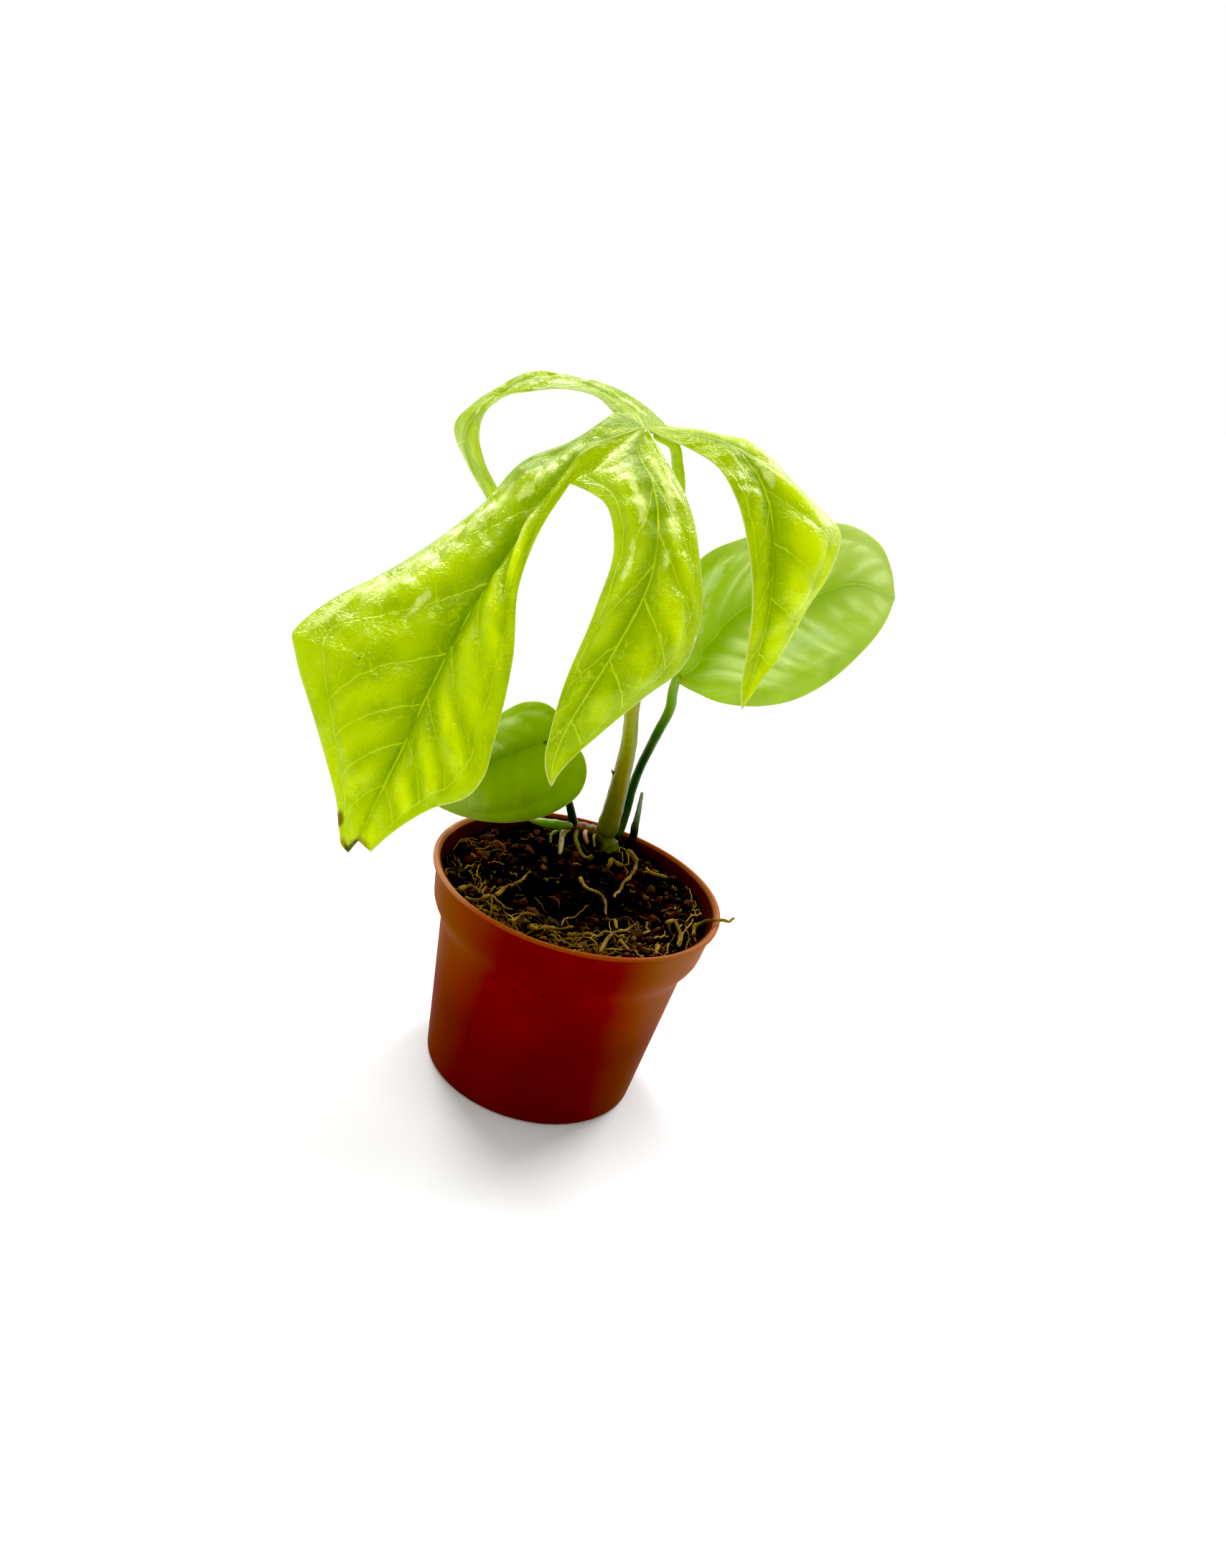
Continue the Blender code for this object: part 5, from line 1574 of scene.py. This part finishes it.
@dataclass
class PottingMix:
    """The bed of mix with its crumbs and fine roots. Sizes in millimetres."""

    level: float = 41.8
    edge_radius: float = 27.5
    mound_height: float = 2.2
    mound_centre: Flat = (3.0, 23.0)
    mound_spread: float = 7.5
    hollow_depth: float = 1.6
    hollow_centre: Flat = (-3.0, 11.0)
    hollow_spread: float = 5.0
    lump_waves: int = 5
    lump_height: float = 0.32
    lump_size: float = 7.0
    lump_seed: int = 11
    crumb_relief: float = 0.42
    crumb_sizes: Point = (2.6, 1.3, 0.7)
    clod_relief: float = 0.5
    clod_size: float = 6.0
    rings: int = 95
    around: int = 300
    crumbs: int = 1700
    clods: int = 250
    fibres: int = 230
    fibre_sides: int = 6
    near_wall_share: float = 0.84
    # The middle, where clods are small and the crumbs are painted dark as shade.
    bare_centre: Flat = (-1.0, -2.0)
    bare_reach: Flat = (16.0, 12.0)
    moss: tuple[Flat, ...] = ((-16.9, -2.6), (-6.3, 1.2), (-4.0, 1.3))
    moss_size: float = 0.55
    moss_colour: Colour = linear(96, 128, 44)
    side: tuple[Flat, ...] = ((27.2, 41.2), (26.6, 36.6), (24.4, 32.6), (20.9, 2.8), (19.9, 1.8), (0.0, 1.8))
    clod_colours: tuple[Colour, ...] = (
        linear(46, 21, 9), linear(68, 32, 13), linear(30, 13, 6), linear(88, 50, 22)
    )
    clod_shares: tuple[float, ...] = (0.36, 0.24, 0.3, 0.1)
    crumb_colours: tuple[Colour, ...] = (
        linear(9, 5, 3), linear(50, 21, 8), linear(84, 40, 16), linear(26, 12, 6), linear(112, 72, 26)
    )
    crumb_shares: tuple[float, ...] = (0.50, 0.2, 0.07, 0.21, 0.02)
    fibre_colours: tuple[Colour, ...] = (
        linear(128, 98, 26), linear(102, 74, 18), linear(158, 128, 52), linear(68, 44, 12)
    )

    def relief(self, x: Array, y: Array) -> Array:
        """How far the mix stands above its level: a mound by the stem, a hollow before it and seeded waves.

        Args:
            x: Where across.
            y: Where towards the back.

        Returns:
            The height at each place. A mound is exp(-distance squared over twice its spread squared).
        """
        height = 0.0
        for (across, ahead), rise, spread in (
            (self.mound_centre, self.mound_height, self.mound_spread),
            (self.hollow_centre, -self.hollow_depth, self.hollow_spread),
        ):
            height = height + rise * np.exp(-((x - across) ** 2 + (y - ahead) ** 2) / (2 * spread**2))
        draw = np.random.default_rng(self.lump_seed)
        for _ in range(self.lump_waves):
            angle, phase = draw.uniform(0, FULL_TURN, 2)
            across = (x * math.cos(angle) + y * math.sin(angle)) / self.lump_size
            height = height + self.lump_height * np.sin(FULL_TURN * across + phase) / 2
        return height

    def top(self, x: Array, y: Array) -> Array:
        """The height of the mix: its level, its relief and crumbly noise of three sizes, and clods.

        Args:
            x: Where across.
            y: Where towards the back.

        Returns:
            The height at each place.
        """
        flat = np.stack([x, y, np.zeros_like(x)], -1)
        large, small, fine = (waves(flat, size, 61 + i) for i, size in enumerate(self.crumb_sizes))
        crumbly = np.abs(large) + 0.6 * np.abs(small) + 0.35 * fine
        cloddy = np.minimum(waves(flat, self.clod_size, 64), 0.4)
        smooth = self.level + self.relief(x, y)
        return smooth + self.crumb_relief * (crumbly - 0.8) + self.clod_relief * (cloddy - 0.2)

    def bareness_and_shade(self, x: Array, y: Array) -> Array:
        """How bare of clods the mix is and how dark its crumbs are painted, as shade: 1 in the middle, 0 from
        the edge of an ellipse.

        Args:
            x: Where across.
            y: Where towards the back.

        Returns:
            The share at each place.
        """
        across = (x - self.bare_centre[0]) / self.bare_reach[0]
        ahead = (y - self.bare_centre[1]) / self.bare_reach[1]
        return 1 - smooth_step(np.hypot(across, ahead), 0.55, 1.1)

    def bed(self) -> Surface:
        """The bed: rings out to the wall over the top, then down its side and in over its foot."""
        angles = circle(self.around)[0]
        radius = self.edge_radius * np.linspace(0, 1, self.rings)[:, None]
        x, y = radius * np.cos(angles), radius * np.sin(angles)
        top = np.stack([x, y, self.top(x, y)], -1)
        side = np.concatenate([top[-1:], turned(self.side, angles)])
        return Surface.joined([Surface.from_grid(grid * MM, ring=True) for grid in (top, side)]).welded()

    def strewn(self, draw: np.random.Generator, count: int, margin: float, crowding: float) -> Array:
        """Random places on the mix.

        Args:
            draw: The draw.
            count: How many.
            margin: How far from the wall they stay.
            crowding: The power of an even share that gives the radius: under 0.5, more are near the wall.

        Returns:
            Their x and y.
        """
        radius = (self.edge_radius - margin) * draw.uniform(0, 1, count) ** crowding
        angle = draw.uniform(0, FULL_TURN, count)
        return np.array([radius * np.cos(angle), radius * np.sin(angle)])

    def clod_pieces(self) -> Surface:
        """Larger red-brown clods round the middle, where the crumbs are painted dark as shade, and a few
        specks of moss.
        """
        draw = np.random.default_rng(75)
        x, y = self.strewn(draw, self.clods, 1.6, 0.5)
        size = draw.uniform(1.3, 3.6, self.clods) * (1 - 0.8 * self.bareness_and_shade(x, y))
        sizes = size[:, None] * draw.uniform(0.5, 1.15, (self.clods, 3)) * (1.0, 1.0, 0.7)
        places = np.stack([x, y, self.top(x, y) + 0.08 * size], -1)
        picks = draw.choice(len(self.clod_colours), self.clods, p=self.clod_shares)
        x, y = np.array(self.moss).T
        moss = np.stack([x, y, self.top(x, y) + 0.4], -1)
        sizes = np.vstack([sizes, np.full((len(moss), 3), self.moss_size)])
        tints = np.vstack([np.array(self.clod_colours)[picks], np.full((len(moss), 3), self.moss_colour)])
        return scattered(finer(lump()), np.vstack([places, moss]) * MM, sizes * MM, tints, 76)

    def crumb_pieces(self) -> Surface:
        """Crumbs and bark bits strewn over the top, most of them small, more of them near the wall."""
        draw = np.random.default_rng(71)
        x, y = self.strewn(draw, self.crumbs, 0.9, 0.42)
        size = 0.45 + 1.1 * draw.uniform(0, 1, self.crumbs) ** 3
        ranges = ((0.8, 2.0), (0.5, 1.0), (0.25, 0.7))
        sizes = size[:, None] * np.stack([draw.uniform(low, high, self.crumbs) for low, high in ranges], -1)
        places = np.stack([x, y, self.top(x, y) + 0.12 * size], -1)
        picks = draw.choice(len(self.crumb_colours), self.crumbs, p=self.crumb_shares)
        # Crumbs in the middle are painted darker, as shade.
        tints = np.array(self.crumb_colours)[picks] * (1 - 0.85 * self.bareness_and_shade(x, y))[:, None]
        return Surface.joined([scattered(lump(), places * MM, sizes * MM, tints, 72), self.clod_pieces()])

    def fibre(
        self, start: Flat, heading: float, length: float, radius: float, lift: float, seed: int
    ) -> tuple[Array, Array]:
        """One fine root over the top of the mix.

        Its heading is the first one plus a slow wave and a random walk. Its height is the mix's plus the
        lift times sin(pi share), and it stays inside the wall.

        Args:
            start: Where it starts.
            heading: Its first heading, in radians.
            length: Its length.
            radius: Its radius.
            lift: How high it stands off the mix in its middle.
            seed: Picks the draw.

        Returns:
            Its path and its radius at each point, in metres.
        """
        draw = np.random.default_rng(seed)
        count = max(8, int(length * 1.6))
        share = np.linspace(0, 1, count)
        bend = 0.35 * np.sin(share * draw.uniform(3, 7) + draw.uniform(0, 6))
        turn = heading + draw.uniform(-1.1, 1.1) * share + bend
        step = length / (count - 1)
        x = start[0] + np.cumsum(np.cos(turn)) * step
        y = start[1] + np.cumsum(np.sin(turn)) * step
        inside = np.minimum(1, (self.edge_radius - 0.5) / np.maximum(np.hypot(x, y), 1e-6))
        x, y = x * inside, y * inside
        above = radius * 0.6 + lift * np.sin(math.pi * share) + 0.15 * np.sin(share * 17 + seed)
        return np.stack([x, y, self.top(x, y) + above], -1) * MM, radius * (1 - 0.5 * share) * MM

    def fine_roots(self) -> Surface:
        """Many fine roots, thickest along the front of the wall, where the mix is washed off them."""
        draw = np.random.default_rng(81)
        made = []
        for i in range(self.fibres):
            near_wall = draw.uniform() < self.near_wall_share
            angle = draw.normal(-1.75, 0.95) if near_wall else draw.uniform(0, FULL_TURN)
            radius = draw.uniform(19, 26.5) if near_wall else 26 * math.sqrt(draw.uniform())
            start = (radius * math.cos(angle), radius * math.sin(angle))
            heading = angle + math.pi / 2 * draw.choice([-1, 1]) + draw.normal(0, 0.6)
            length = draw.uniform(4, 15) if near_wall else draw.uniform(2, 6)
            laid = self.fibre(start, heading, length, draw.uniform(0.10, 0.30), draw.uniform(0, 0.9), 900 + i)
            colour = self.fibre_colours[draw.integers(len(self.fibre_colours))]
            made.append(tube(*laid, self.fibre_sides, colour))
        return Surface.joined(made)

    def dress(self, root_finish: Material) -> None:
        """Makes the bed, its crumbs and its fine roots.

        Args:
            root_finish: The fine roots' material.
        """
        self.bed().piece("mix_bed", MixFinish().material(), "potting_mix", "potting_mix")
        crumb_finish = TintedFinish("crumbs", streak=0.6, rough=0.85, shine=0.15, grain=0.7, depth=0.12)
        self.crumb_pieces().piece("mix_crumbs", crumb_finish.material(), "potting_mix", sharp=30.0)
        self.fine_roots().piece("fine_roots", root_finish, "root")


@dataclass(frozen=True)
class LaidRoot:
    """A root on the mix: points (x, y) in millimetres and its radius."""

    points: tuple[Flat, ...]
    radius: float


SURFACE_ROOTS = (
    LaidRoot(((-20, -16.6), (-17.2, -15.8), (-15.2, -14.2), (-13.4, -15.1), (-10.9, -15.8)), 0.55),
    LaidRoot(((-21.8, -13.8), (-19.9, -11.7), (-17.8, -12.6)), 0.5),
    LaidRoot(((-14.8, -11.8), (-13.4, -8.3), (-11.5, -3.8), (-10, 1.2)), 0.45),
    LaidRoot(((-10.5, -21.2), (-9.7, -19), (-8.1, -17.2), (-6.4, -16.7)), 0.5),
    LaidRoot(((-7.4, -19.9), (-5.2, -21.4)), 0.75),
    LaidRoot(((-3.8, -20.6), (-1.4, -18.3), (1.3, -16.9)), 0.5),
    LaidRoot(((1.1, -19.2), (3.4, -18.6), (5.7, -17.1)), 0.45),
    LaidRoot(((0.1, 5.9), (2.1, 2), (4.2, 0.5), (5.9, -1.4), (7.2, -6.5)), 0.5),
    LaidRoot(((9, -8.4), (9.8, -11.8)), 0.45),
    LaidRoot(((7.4, -22.5), (9.2, -15.1), (13.3, -8.5)), 0.5),
    LaidRoot(((10.9, -16.2), (11.8, -17.7), (14, -20.2)), 0.45),
    LaidRoot(((13.4, -15), (14.5, -12.3), (16.2, -9.9)), 0.45),
    LaidRoot(((19.4, -4.6), (20.9, -2.2), (22, -5.3), (22.3, -13.3)), 0.5),
    LaidRoot(((18.1, -14.4), (18.2, -17.8)), 0.55),
    LaidRoot(((5.2, 13.2), (6.1, 16), (7.6, 14.4), (9.2, 15)), 0.6),
)
FORKED_ROOT = LaidRoot(((9, 20.2), (9.8, 19.4), (11.1, 18.2), (12.6, 17.6), (14.4, 15.7), (18.1, 15.4)), 0.7)
FORKED_ROOT_BRANCH = LaidRoot(((11, 18.3), (10.9, 13.3), (9.5, 8.9), (8.5, 3.4), (7.8, 0.6)), 0.5)
LIP_ROOT = ((25, -6.2, 42.9), (25.2, -4.2, 43.7), (26.6, -4, 45.1), (28.6, -3.6, 45.9), (30.2, -2.8, 45.9),
            (31.4, -2.4, 45.7), (32.4, -1, 46.1))


@dataclass
class Roots:
    """The thicker roots that lie on the mix, the forked one and the one that hangs over the lip."""

    mix: PottingMix
    steps_per_mm: float = 2.2
    sides: int = 10
    lip_radius: float = 0.5
    tip_share: float = 0.55
    waver: float = 0.12
    ochre: Colour = linear(142, 110, 30)
    ochre_dark: Colour = linear(88, 64, 14)

    def thick_root(self, path: Array, radius: float, seed: int) -> Surface:
        """A knobbly root along a path in millimetres, which thins to its far end.

        Its radius is the given one times (1 - 0.45 share), times 1 plus noise, and it wavers sideways.

        Args:
            path: Its centre points.
            radius: Its radius at the start.
            seed: Picks the draw.

        Returns:
            The surface.
        """
        share = np.linspace(0, 1, len(path))
        path = path + self.waver * np.stack([waves(path, 3.0, seed + k) for k in range(3)], -1)
        knobs = waves(path, 1.7, seed + 7) * 0.14
        radii = radius * (1 - (1 - self.tip_share) * share) * (1 + knobs)
        relief = 1 + 0.1 * waves(path[:, None] + radius * circle(self.sides)[1], 0.9, seed + 9)
        blend = np.clip(0.5 + 0.6 * waves(path, 4.0, seed + 11), 0, 1)[:, None]
        tint = np.array(self.ochre) * blend + np.array(self.ochre_dark) * (1 - blend)
        return tube(path * MM, radii * MM, self.sides, tint, relief)

    def laid(self, root: LaidRoot, seed: int) -> Surface:
        """A root that follows the mix, a little above it.

        Args:
            root: The root.
            seed: Picks the draw.

        Returns:
            The surface.
        """
        points = [(x, y, 0.0) for x, y in root.points]
        length = travelled(smooth_path(points, np.linspace(0, 1, 40)))[-1]
        path = smooth_path(points, np.linspace(0, 1, max(10, int(length * self.steps_per_mm))))
        path[:, 2] = self.mix.level + self.mix.relief(path[:, 0], path[:, 1]) + root.radius + 0.3
        return self.thick_root(path, root.radius, seed)

    def build(self) -> Surface:
        """All the thicker roots."""
        laid = [*SURFACE_ROOTS, FORKED_ROOT, FORKED_ROOT_BRANCH]
        made = [self.laid(root, 100 + 20 * i) for i, root in enumerate(laid)]
        over_lip = smooth_path(LIP_ROOT, np.linspace(0, 1, 40))
        return Surface.joined([*made, self.thick_root(over_lip, self.lip_radius, 700)])

    def dress(self, finish: Material) -> None:
        """Makes the piece."""
        surface_nodes = [f"surface_root_{i:02d}" for i in range(1, len(SURFACE_ROOTS) + 1)]
        self.build().piece("laid_roots", finish, "root", "forked_root", "lip_root", *surface_nodes)


@dataclass(frozen=True)
class AirRoot:
    """A root from the stem down to the mix: points in millimetres, its radius and its colour."""

    points: tuple[Point, ...]
    radius: float
    colour: Colour

    STEPS = 34
    SIDES = 12
    TIP_SHARE = 0.6

    def surface(self, seed: int) -> Surface:
        """The root, which thins evenly to its tip and is a little uneven."""
        path = smooth_path(self.points, np.linspace(0, 1, self.STEPS))
        thinning = np.linspace(1, self.TIP_SHARE, self.STEPS)
        radii = self.radius * thinning * (1 + 0.08 * waves(path, 1.5, seed))
        return tube(path * MM, radii * MM, self.SIDES, self.colour)


@dataclass(frozen=True)
class CreepingStem(Stalk):
    """The creeping stem with its rings and its roots in the air."""

    centres: tuple[Point, ...] = (
        (-5.4, 21.5, 45.9), (-3.6, 21.6, 46.2), (-0.8, 21.6, 46.2), (2.4, 21.6, 45.6), (4.3, 21.4, 43.6),
        (5, 21.2, 39.5), (5, 21, 33),
    )
    radii: tuple[float, ...] = (1.0, 1.3, 1.6, 2.4, 2.7, 2.2, 1.4)
    colours: tuple[Colour, ...] = (
        linear(120, 78, 60), linear(96, 66, 34), linear(86, 78, 20), linear(92, 104, 22), linear(60, 66, 10),
        linear(40, 36, 12), linear(30, 24, 12),
    )
    seed: int = 21
    steps: int = 120
    sides: int = 28
    noise: tuple[float, float, float] = (2.0, 1.6, 0.04)
    ring_every: float = 1.7
    air_roots: tuple[AirRoot, ...] = (
        AirRoot(((-4.9, 21.5, 45.8), (-5.9, 19.9, 45), (-5.8, 17, 43.4), (-5.2, 15, 41.4)), 0.8,
                linear(190, 170, 120)),
        AirRoot(((-5, 21.5, 45.7), (-7.2, 20.2, 44.8), (-8.4, 18.6, 44), (-8, 17.4, 42.6)), 0.5,
                linear(120, 140, 60)),
        AirRoot(((-3.2, 21.4, 46), (-3.1, 19, 44.6), (-2, 17.5, 43.5), (-0.9, 16.2, 42.7), (0.4, 15.6, 42.4),
                 (1.2, 15.9, 43.1)), 0.65, linear(112, 106, 30)),
        AirRoot(((-1.3, 21.4, 46.2), (-1.3, 18.8, 46), (-0.4, 17.8, 45)), 0.65, linear(168, 118, 96)),
        AirRoot(((0.8, 21.4, 46), (0.8, 18.2, 45.9), (1.3, 17.4, 44.8)), 0.5, linear(120, 112, 30)),
    )

    def build(self) -> Surface:
        """The stem and its roots in the air."""
        roots = [root.surface(30 + i) for i, root in enumerate(self.air_roots)]
        return Surface.joined([self.surface(), *roots])

    def dress(self) -> None:
        """Makes the piece."""
        finish = TintedFinish("stem_skin", streak=0.7, rough=0.5, shine=0.35, grain=0.9, depth=0.08)
        self.build().piece("stem_and_air_roots", finish.material(), "stem", "main_stem")


@dataclass(frozen=True)
class DriedStub(Stalk):
    """The dried stub behind the stem: two split legs that meet in a thin tip."""

    centres: tuple[Point, ...] = (
        (8.2, 24, 57), (8.6, 23.9, 52.2), (8.8, 23.8, 48.6), (9.1, 23.8, 46), (9.2, 23.8, 39.5)
    )
    radii: tuple[float, ...] = (0.4, 0.62, 0.9, 0.95, 0.8)
    colours: tuple[Colour, ...] = (
        linear(150, 170, 140), linear(126, 146, 116), linear(52, 54, 32), linear(18, 18, 8), linear(14, 12, 6)
    )
    seed: int = 41
    steps: int = 70
    sides: int = 20
    noise: tuple[float, float, float] = (1.0, 1.4, 0.06)
    split_depth: float = 0.55
    split_reach: float = 0.35

    def form(self, share: Array, angle: Array) -> Array:
        """1 less two slits, each a bell of the angle, which open towards its foot."""
        slit = sum(bell(angle - side, self.split_reach)[None] for side in (math.pi / 2, 1.5 * math.pi))
        return 1 - self.split_depth * slit * smooth_step(share, 0.15, 0.5)[:, None]

    def dress(self) -> None:
        """Makes the piece."""
        finish = TintedFinish("dried_sheath", streak=0.35, rough=0.85, shine=0.1, grain=0.5, depth=0.1)
        self.surface().piece("split_stub", finish.material(), "dried_sheath", "dried_stub")


@dataclass(frozen=True)
class BudSheath(Stalk):
    """The green pointed sheath on the stem's front end."""

    centres: tuple[Point, ...] = (
        (-13.4, 18.4, 46.2), (-10.5, 18.4, 46.4), (-7.5, 18.8, 46.7), (-5.1, 19.5, 46.9)
    )
    radii: tuple[float, ...] = (0.5, 1.0, 1.1, 0.8)
    colours: tuple[Colour, ...] = (
        linear(150, 170, 60), linear(110, 150, 30), linear(90, 130, 24), linear(96, 110, 30)
    )
    seed: int = 51
    steps: int = 60
    sides: int = 20
    noise: tuple[float, float, float] = (1.0, 2.0, 0.04)
    ribs: int = 7
    rib_height: float = 0.05

    def form(self, share: Array, angle: Array) -> Array:
        """1 plus shallow ribs, the cosine of so many times the angle."""
        return 1 + self.rib_height * np.cos(self.ribs * angle)[None]

    def dress(self, finish: Material) -> None:
        """Makes the piece with the stalks' finish."""
        self.surface().piece("bud_scale", finish, "bud_sheath", "bud_sheath")


# The room


class Softness(Enum):
    """How wide a light looks from the plant, in degrees."""

    CRISP = 24.0
    WIDE = 80.0


@dataclass(frozen=True)
class Lamp:
    """A far white light.

    Its azimuth goes from the right towards the back, in degrees, and its elevation up. Its power is what
    it sheds on a surface that faces it, in watts a square metre.
    """

    name: str
    azimuth: float
    elevation: float
    power: float
    size: Softness

    def hang(self) -> None:
        """Adds the light, turned from its place towards the plant."""
        light = bpy.data.lights.new(self.name, "SUN")
        light.energy = self.power
        light.angle = math.radians(self.size.value)
        made = bpy.data.objects.new(self.name, light)
        around, lift = math.radians(self.azimuth), math.radians(self.elevation)
        level = math.cos(lift)
        made.location = (math.cos(around) * level, math.sin(around) * level, math.sin(lift))
        made.rotation_euler = (-made.location).to_track_quat("-Z", "Y").to_euler()
        bpy.context.scene.collection.objects.link(made)


@dataclass
class Studio:
    """The floor, the lamps and the camera.

    The camera stands a set distance from the middle of the rim, at an angle above the horizon, and is
    rolled as the photograph was. The rim's middle shows at a known pixel of the photograph.
    """

    image_size: tuple[int, int] = (1708, 2184)
    focal_pixels: float = 1770.0
    rim_pixel: Flat = (807.0, 1223.0)
    rim_height: float = 45.0 * MM
    distance: float = 260.0 * MM
    elevation: float = 26.3
    roll: float = 15.6
    sensor: float = 36.0
    nearest: float = 10.0 * MM
    lamps: tuple[Lamp, ...] = (
        Lamp("window_left", 124.0, 40.0, 1.9, Softness.CRISP),
        Lamp("window_right", 60.0, 42.0, 1.9, Softness.CRISP),
        Lamp("backdrop", 90.0, 12.0, 1.0, Softness.WIDE),
        Lamp("ceiling", 110.0, 80.0, 1.0, Softness.CRISP),
        Lamp("left_side", 205.0, 30.0, 0.4, Softness.WIDE),
    )
    black_level: Colour = (0.010, 0.010, 0.020)
    room_light: float = 0.70
    room_seen: float = 1.0
    floor_size: float = 60.0
    floor_tones: tuple[Colour, Colour] = ((0.80, 0.80, 0.80), (0.84, 0.84, 0.84))

    def camera(self) -> None:
        """Sets the camera.

        The view axes are those of a camera that looks at the rim's middle and is rolled, times the turn
        that moves the rim's middle from the image's centre to its pixel.
        """
        lift, turn = math.radians(self.elevation), math.radians(self.roll)
        target = np.array([0.0, 0.0, self.rim_height])
        place = target + self.distance * np.array([0.0, -math.cos(lift), math.sin(lift)])
        ahead = unit(target - place)
        right = np.array([1.0, 0.0, 0.0])
        up = np.cross(right, ahead)
        width, height = self.image_size
        column, row = self.rim_pixel
        seen = unit(np.array([
            (column - width / 2) / self.focal_pixels, -(row - height / 2) / self.focal_pixels, -1.0
        ]))
        rolled_right = math.cos(turn) * right + math.sin(turn) * up
        rolled_up = -math.sin(turn) * right + math.cos(turn) * up
        x = unit(right - seen[0] * seen)
        y = np.cross(x, seen)
        axes = np.stack([rolled_right, rolled_up, ahead], 1) @ np.stack([x, y, seen], 1).T
        lens = bpy.data.cameras.new("camera")
        lens.sensor_width = self.sensor
        lens.lens = self.sensor * self.focal_pixels / height
        lens.clip_start = self.nearest
        made = bpy.data.objects.new("camera", lens)
        rows = [[*row, shift] for row, shift in zip(axes.tolist(), place)]
        made.matrix_world = Matrix([*rows, [0, 0, 0, 1]])
        bpy.context.scene.collection.objects.link(made)
        bpy.context.scene.camera = made

    def surroundings(self) -> None:
        """Sets the white surroundings, which are brighter to the camera than to the plant."""
        world = bpy.data.worlds.new("white_room")
        world.use_nodes = True
        nodes, links = world.node_tree.nodes, world.node_tree.links
        seen = nodes.new("ShaderNodeLightPath")
        strength = nodes.new("ShaderNodeMapRange")
        strength.inputs["To Min"].default_value = self.room_light
        strength.inputs["To Max"].default_value = self.room_seen
        links.new(seen.outputs["Is Camera Ray"], strength.inputs["Value"])
        background = nodes["Background"]
        background.inputs["Color"].default_value = (*WHITE, 1.0)
        links.new(strength.outputs[0], background.inputs["Strength"])
        bpy.context.scene.world = world

    def floor(self) -> None:
        """Lays the pale floor, a square round the origin."""
        g = Graph("pale_floor")
        colour = g.blend(g.noise(g.place(), 9.0, 2.0), *self.floor_tones)
        half = self.floor_size / 2
        corners = [(-half, -half, 0), (half, -half, 0), (half, half, 0), (-half, half, 0)]
        mesh = bpy.data.meshes.new("floor")
        mesh.from_pydata(corners, [], [(0, 1, 2, 3)])
        mesh.materials.append(g.finished(g.skin(colour, 0.9, 0.1)))
        made = bpy.data.objects.new("floor", mesh)
        bpy.context.scene.collection.objects.link(made)

    def build(self) -> None:
        """Sets up the whole room and its tones."""
        self.camera()
        for lamp in self.lamps:
            lamp.hang()
        self.surroundings()
        self.floor()
        view = bpy.context.scene.view_settings
        view.view_transform = "Standard"
        view.look = "None"
        view.use_curve_mapping = True
        view.curve_mapping.black_level = self.black_level
        view.curve_mapping.update()


# The finishes' shade and glow colours are painted shade and light, and their silver colours paint streaks
# that are partly silver and partly highlight.
LIME = LeafFinish(
    "lime_blade",
    green=linear(172, 198, 1), shade=linear(108, 142, 0), glow=linear(220, 244, 3),
    vein=linear(206, 228, 36), under=linear(152, 184, 16),
    shine=(1.0, 1.0, 0.38), through=linear(200, 235, 2),
    torn_tip=(-36.9, -47.3, 62.5), burnt_spot=(-40.6, -46.0, 66.2),
    dry_points=((-19.5, -40.0, 79.0), (-8.6, -38.1, 78.7), (19.6, -18.2, 94.3), (8.2, -26.2, 106.5)),
    specks=((-44.7, -35.5, 90.4), (23.6, -0.5, 128.7), (24.0, -5.1, 126.6), (-11.7, -10.0, 129.0)),
)
SOFT_GREEN = LeafFinish(
    "soft_green_blade",
    green=linear(170, 196, 48), shade=linear(132, 162, 28), glow=linear(232, 246, 150),
    vein=linear(196, 224, 104), under=linear(124, 158, 60),
    shine=(1.0, 1.0, 0.7), through=linear(190, 230, 90), silver=linear(206, 228, 148), through_share=0.3,
    vein_share=0.15, rib_share=0.25, net_share=0.06, rough=0.38, relief=0.03, shine_level=0.6,
    shadow_share=0.0, band_share=0.95,
)
HEART_GREEN = LeafFinish(
    "heart_green_blade",
    green=linear(128, 164, 12), shade=linear(102, 136, 3), glow=linear(188, 210, 124),
    vein=linear(128, 160, 34), under=linear(104, 138, 20),
    shine=(1.0, 1.0, 0.5), through=linear(120, 170, 8), through_share=0.15,
    vein_share=0.1, rib_share=0.15, net_share=0.03, rough=0.5, relief=0.03, shine_level=0.2,
    shadow_share=0.0, band_share=0.8,
)


def main() -> None:
    """Builds and dresses the plant, piece by piece, and sets up the room."""
    logging.basicConfig(level=logging.INFO, format="%(message)s")
    Studio().build()
    stalk_finish = TintedFinish("stalk_skin", streak=0.3, rough=0.4, shine=0.4, grain=1.2, depth=0.03)
    root_finish = TintedFinish("root_skin", streak=0.8, rough=0.75, shine=0.2, grain=0.5, depth=0.08)
    stalk_skin, root_skin = stalk_finish.material(), root_finish.material()
    mix = PottingMix()
    Pot().dress()
    mix.dress(root_skin)
    Roots(mix).dress(root_skin)
    CreepingStem().dress()
    DriedStub().dress()
    BudSheath().dress(stalk_skin)
    lobes = (TERMINAL_LOBE, MIDDLE_LOBE, RIGHT_LOBE, BACK_LOBE)
    Leaf("split_leaf", lobes, MAIN_PETIOLE, LIME).dress(stalk_skin)
    PetioleSheath().dress(stalk_skin)
    Leaf("oval_leaf", (OVAL_BLADE,), OVAL_PETIOLE, SOFT_GREEN, keel=0.5).dress(stalk_skin)
    Leaf("heart_leaf", (HEART_BLADE,), HEART_PETIOLE, HEART_GREEN, keel=0.4).dress(stalk_skin)


if __name__ == "__main__":
    main()
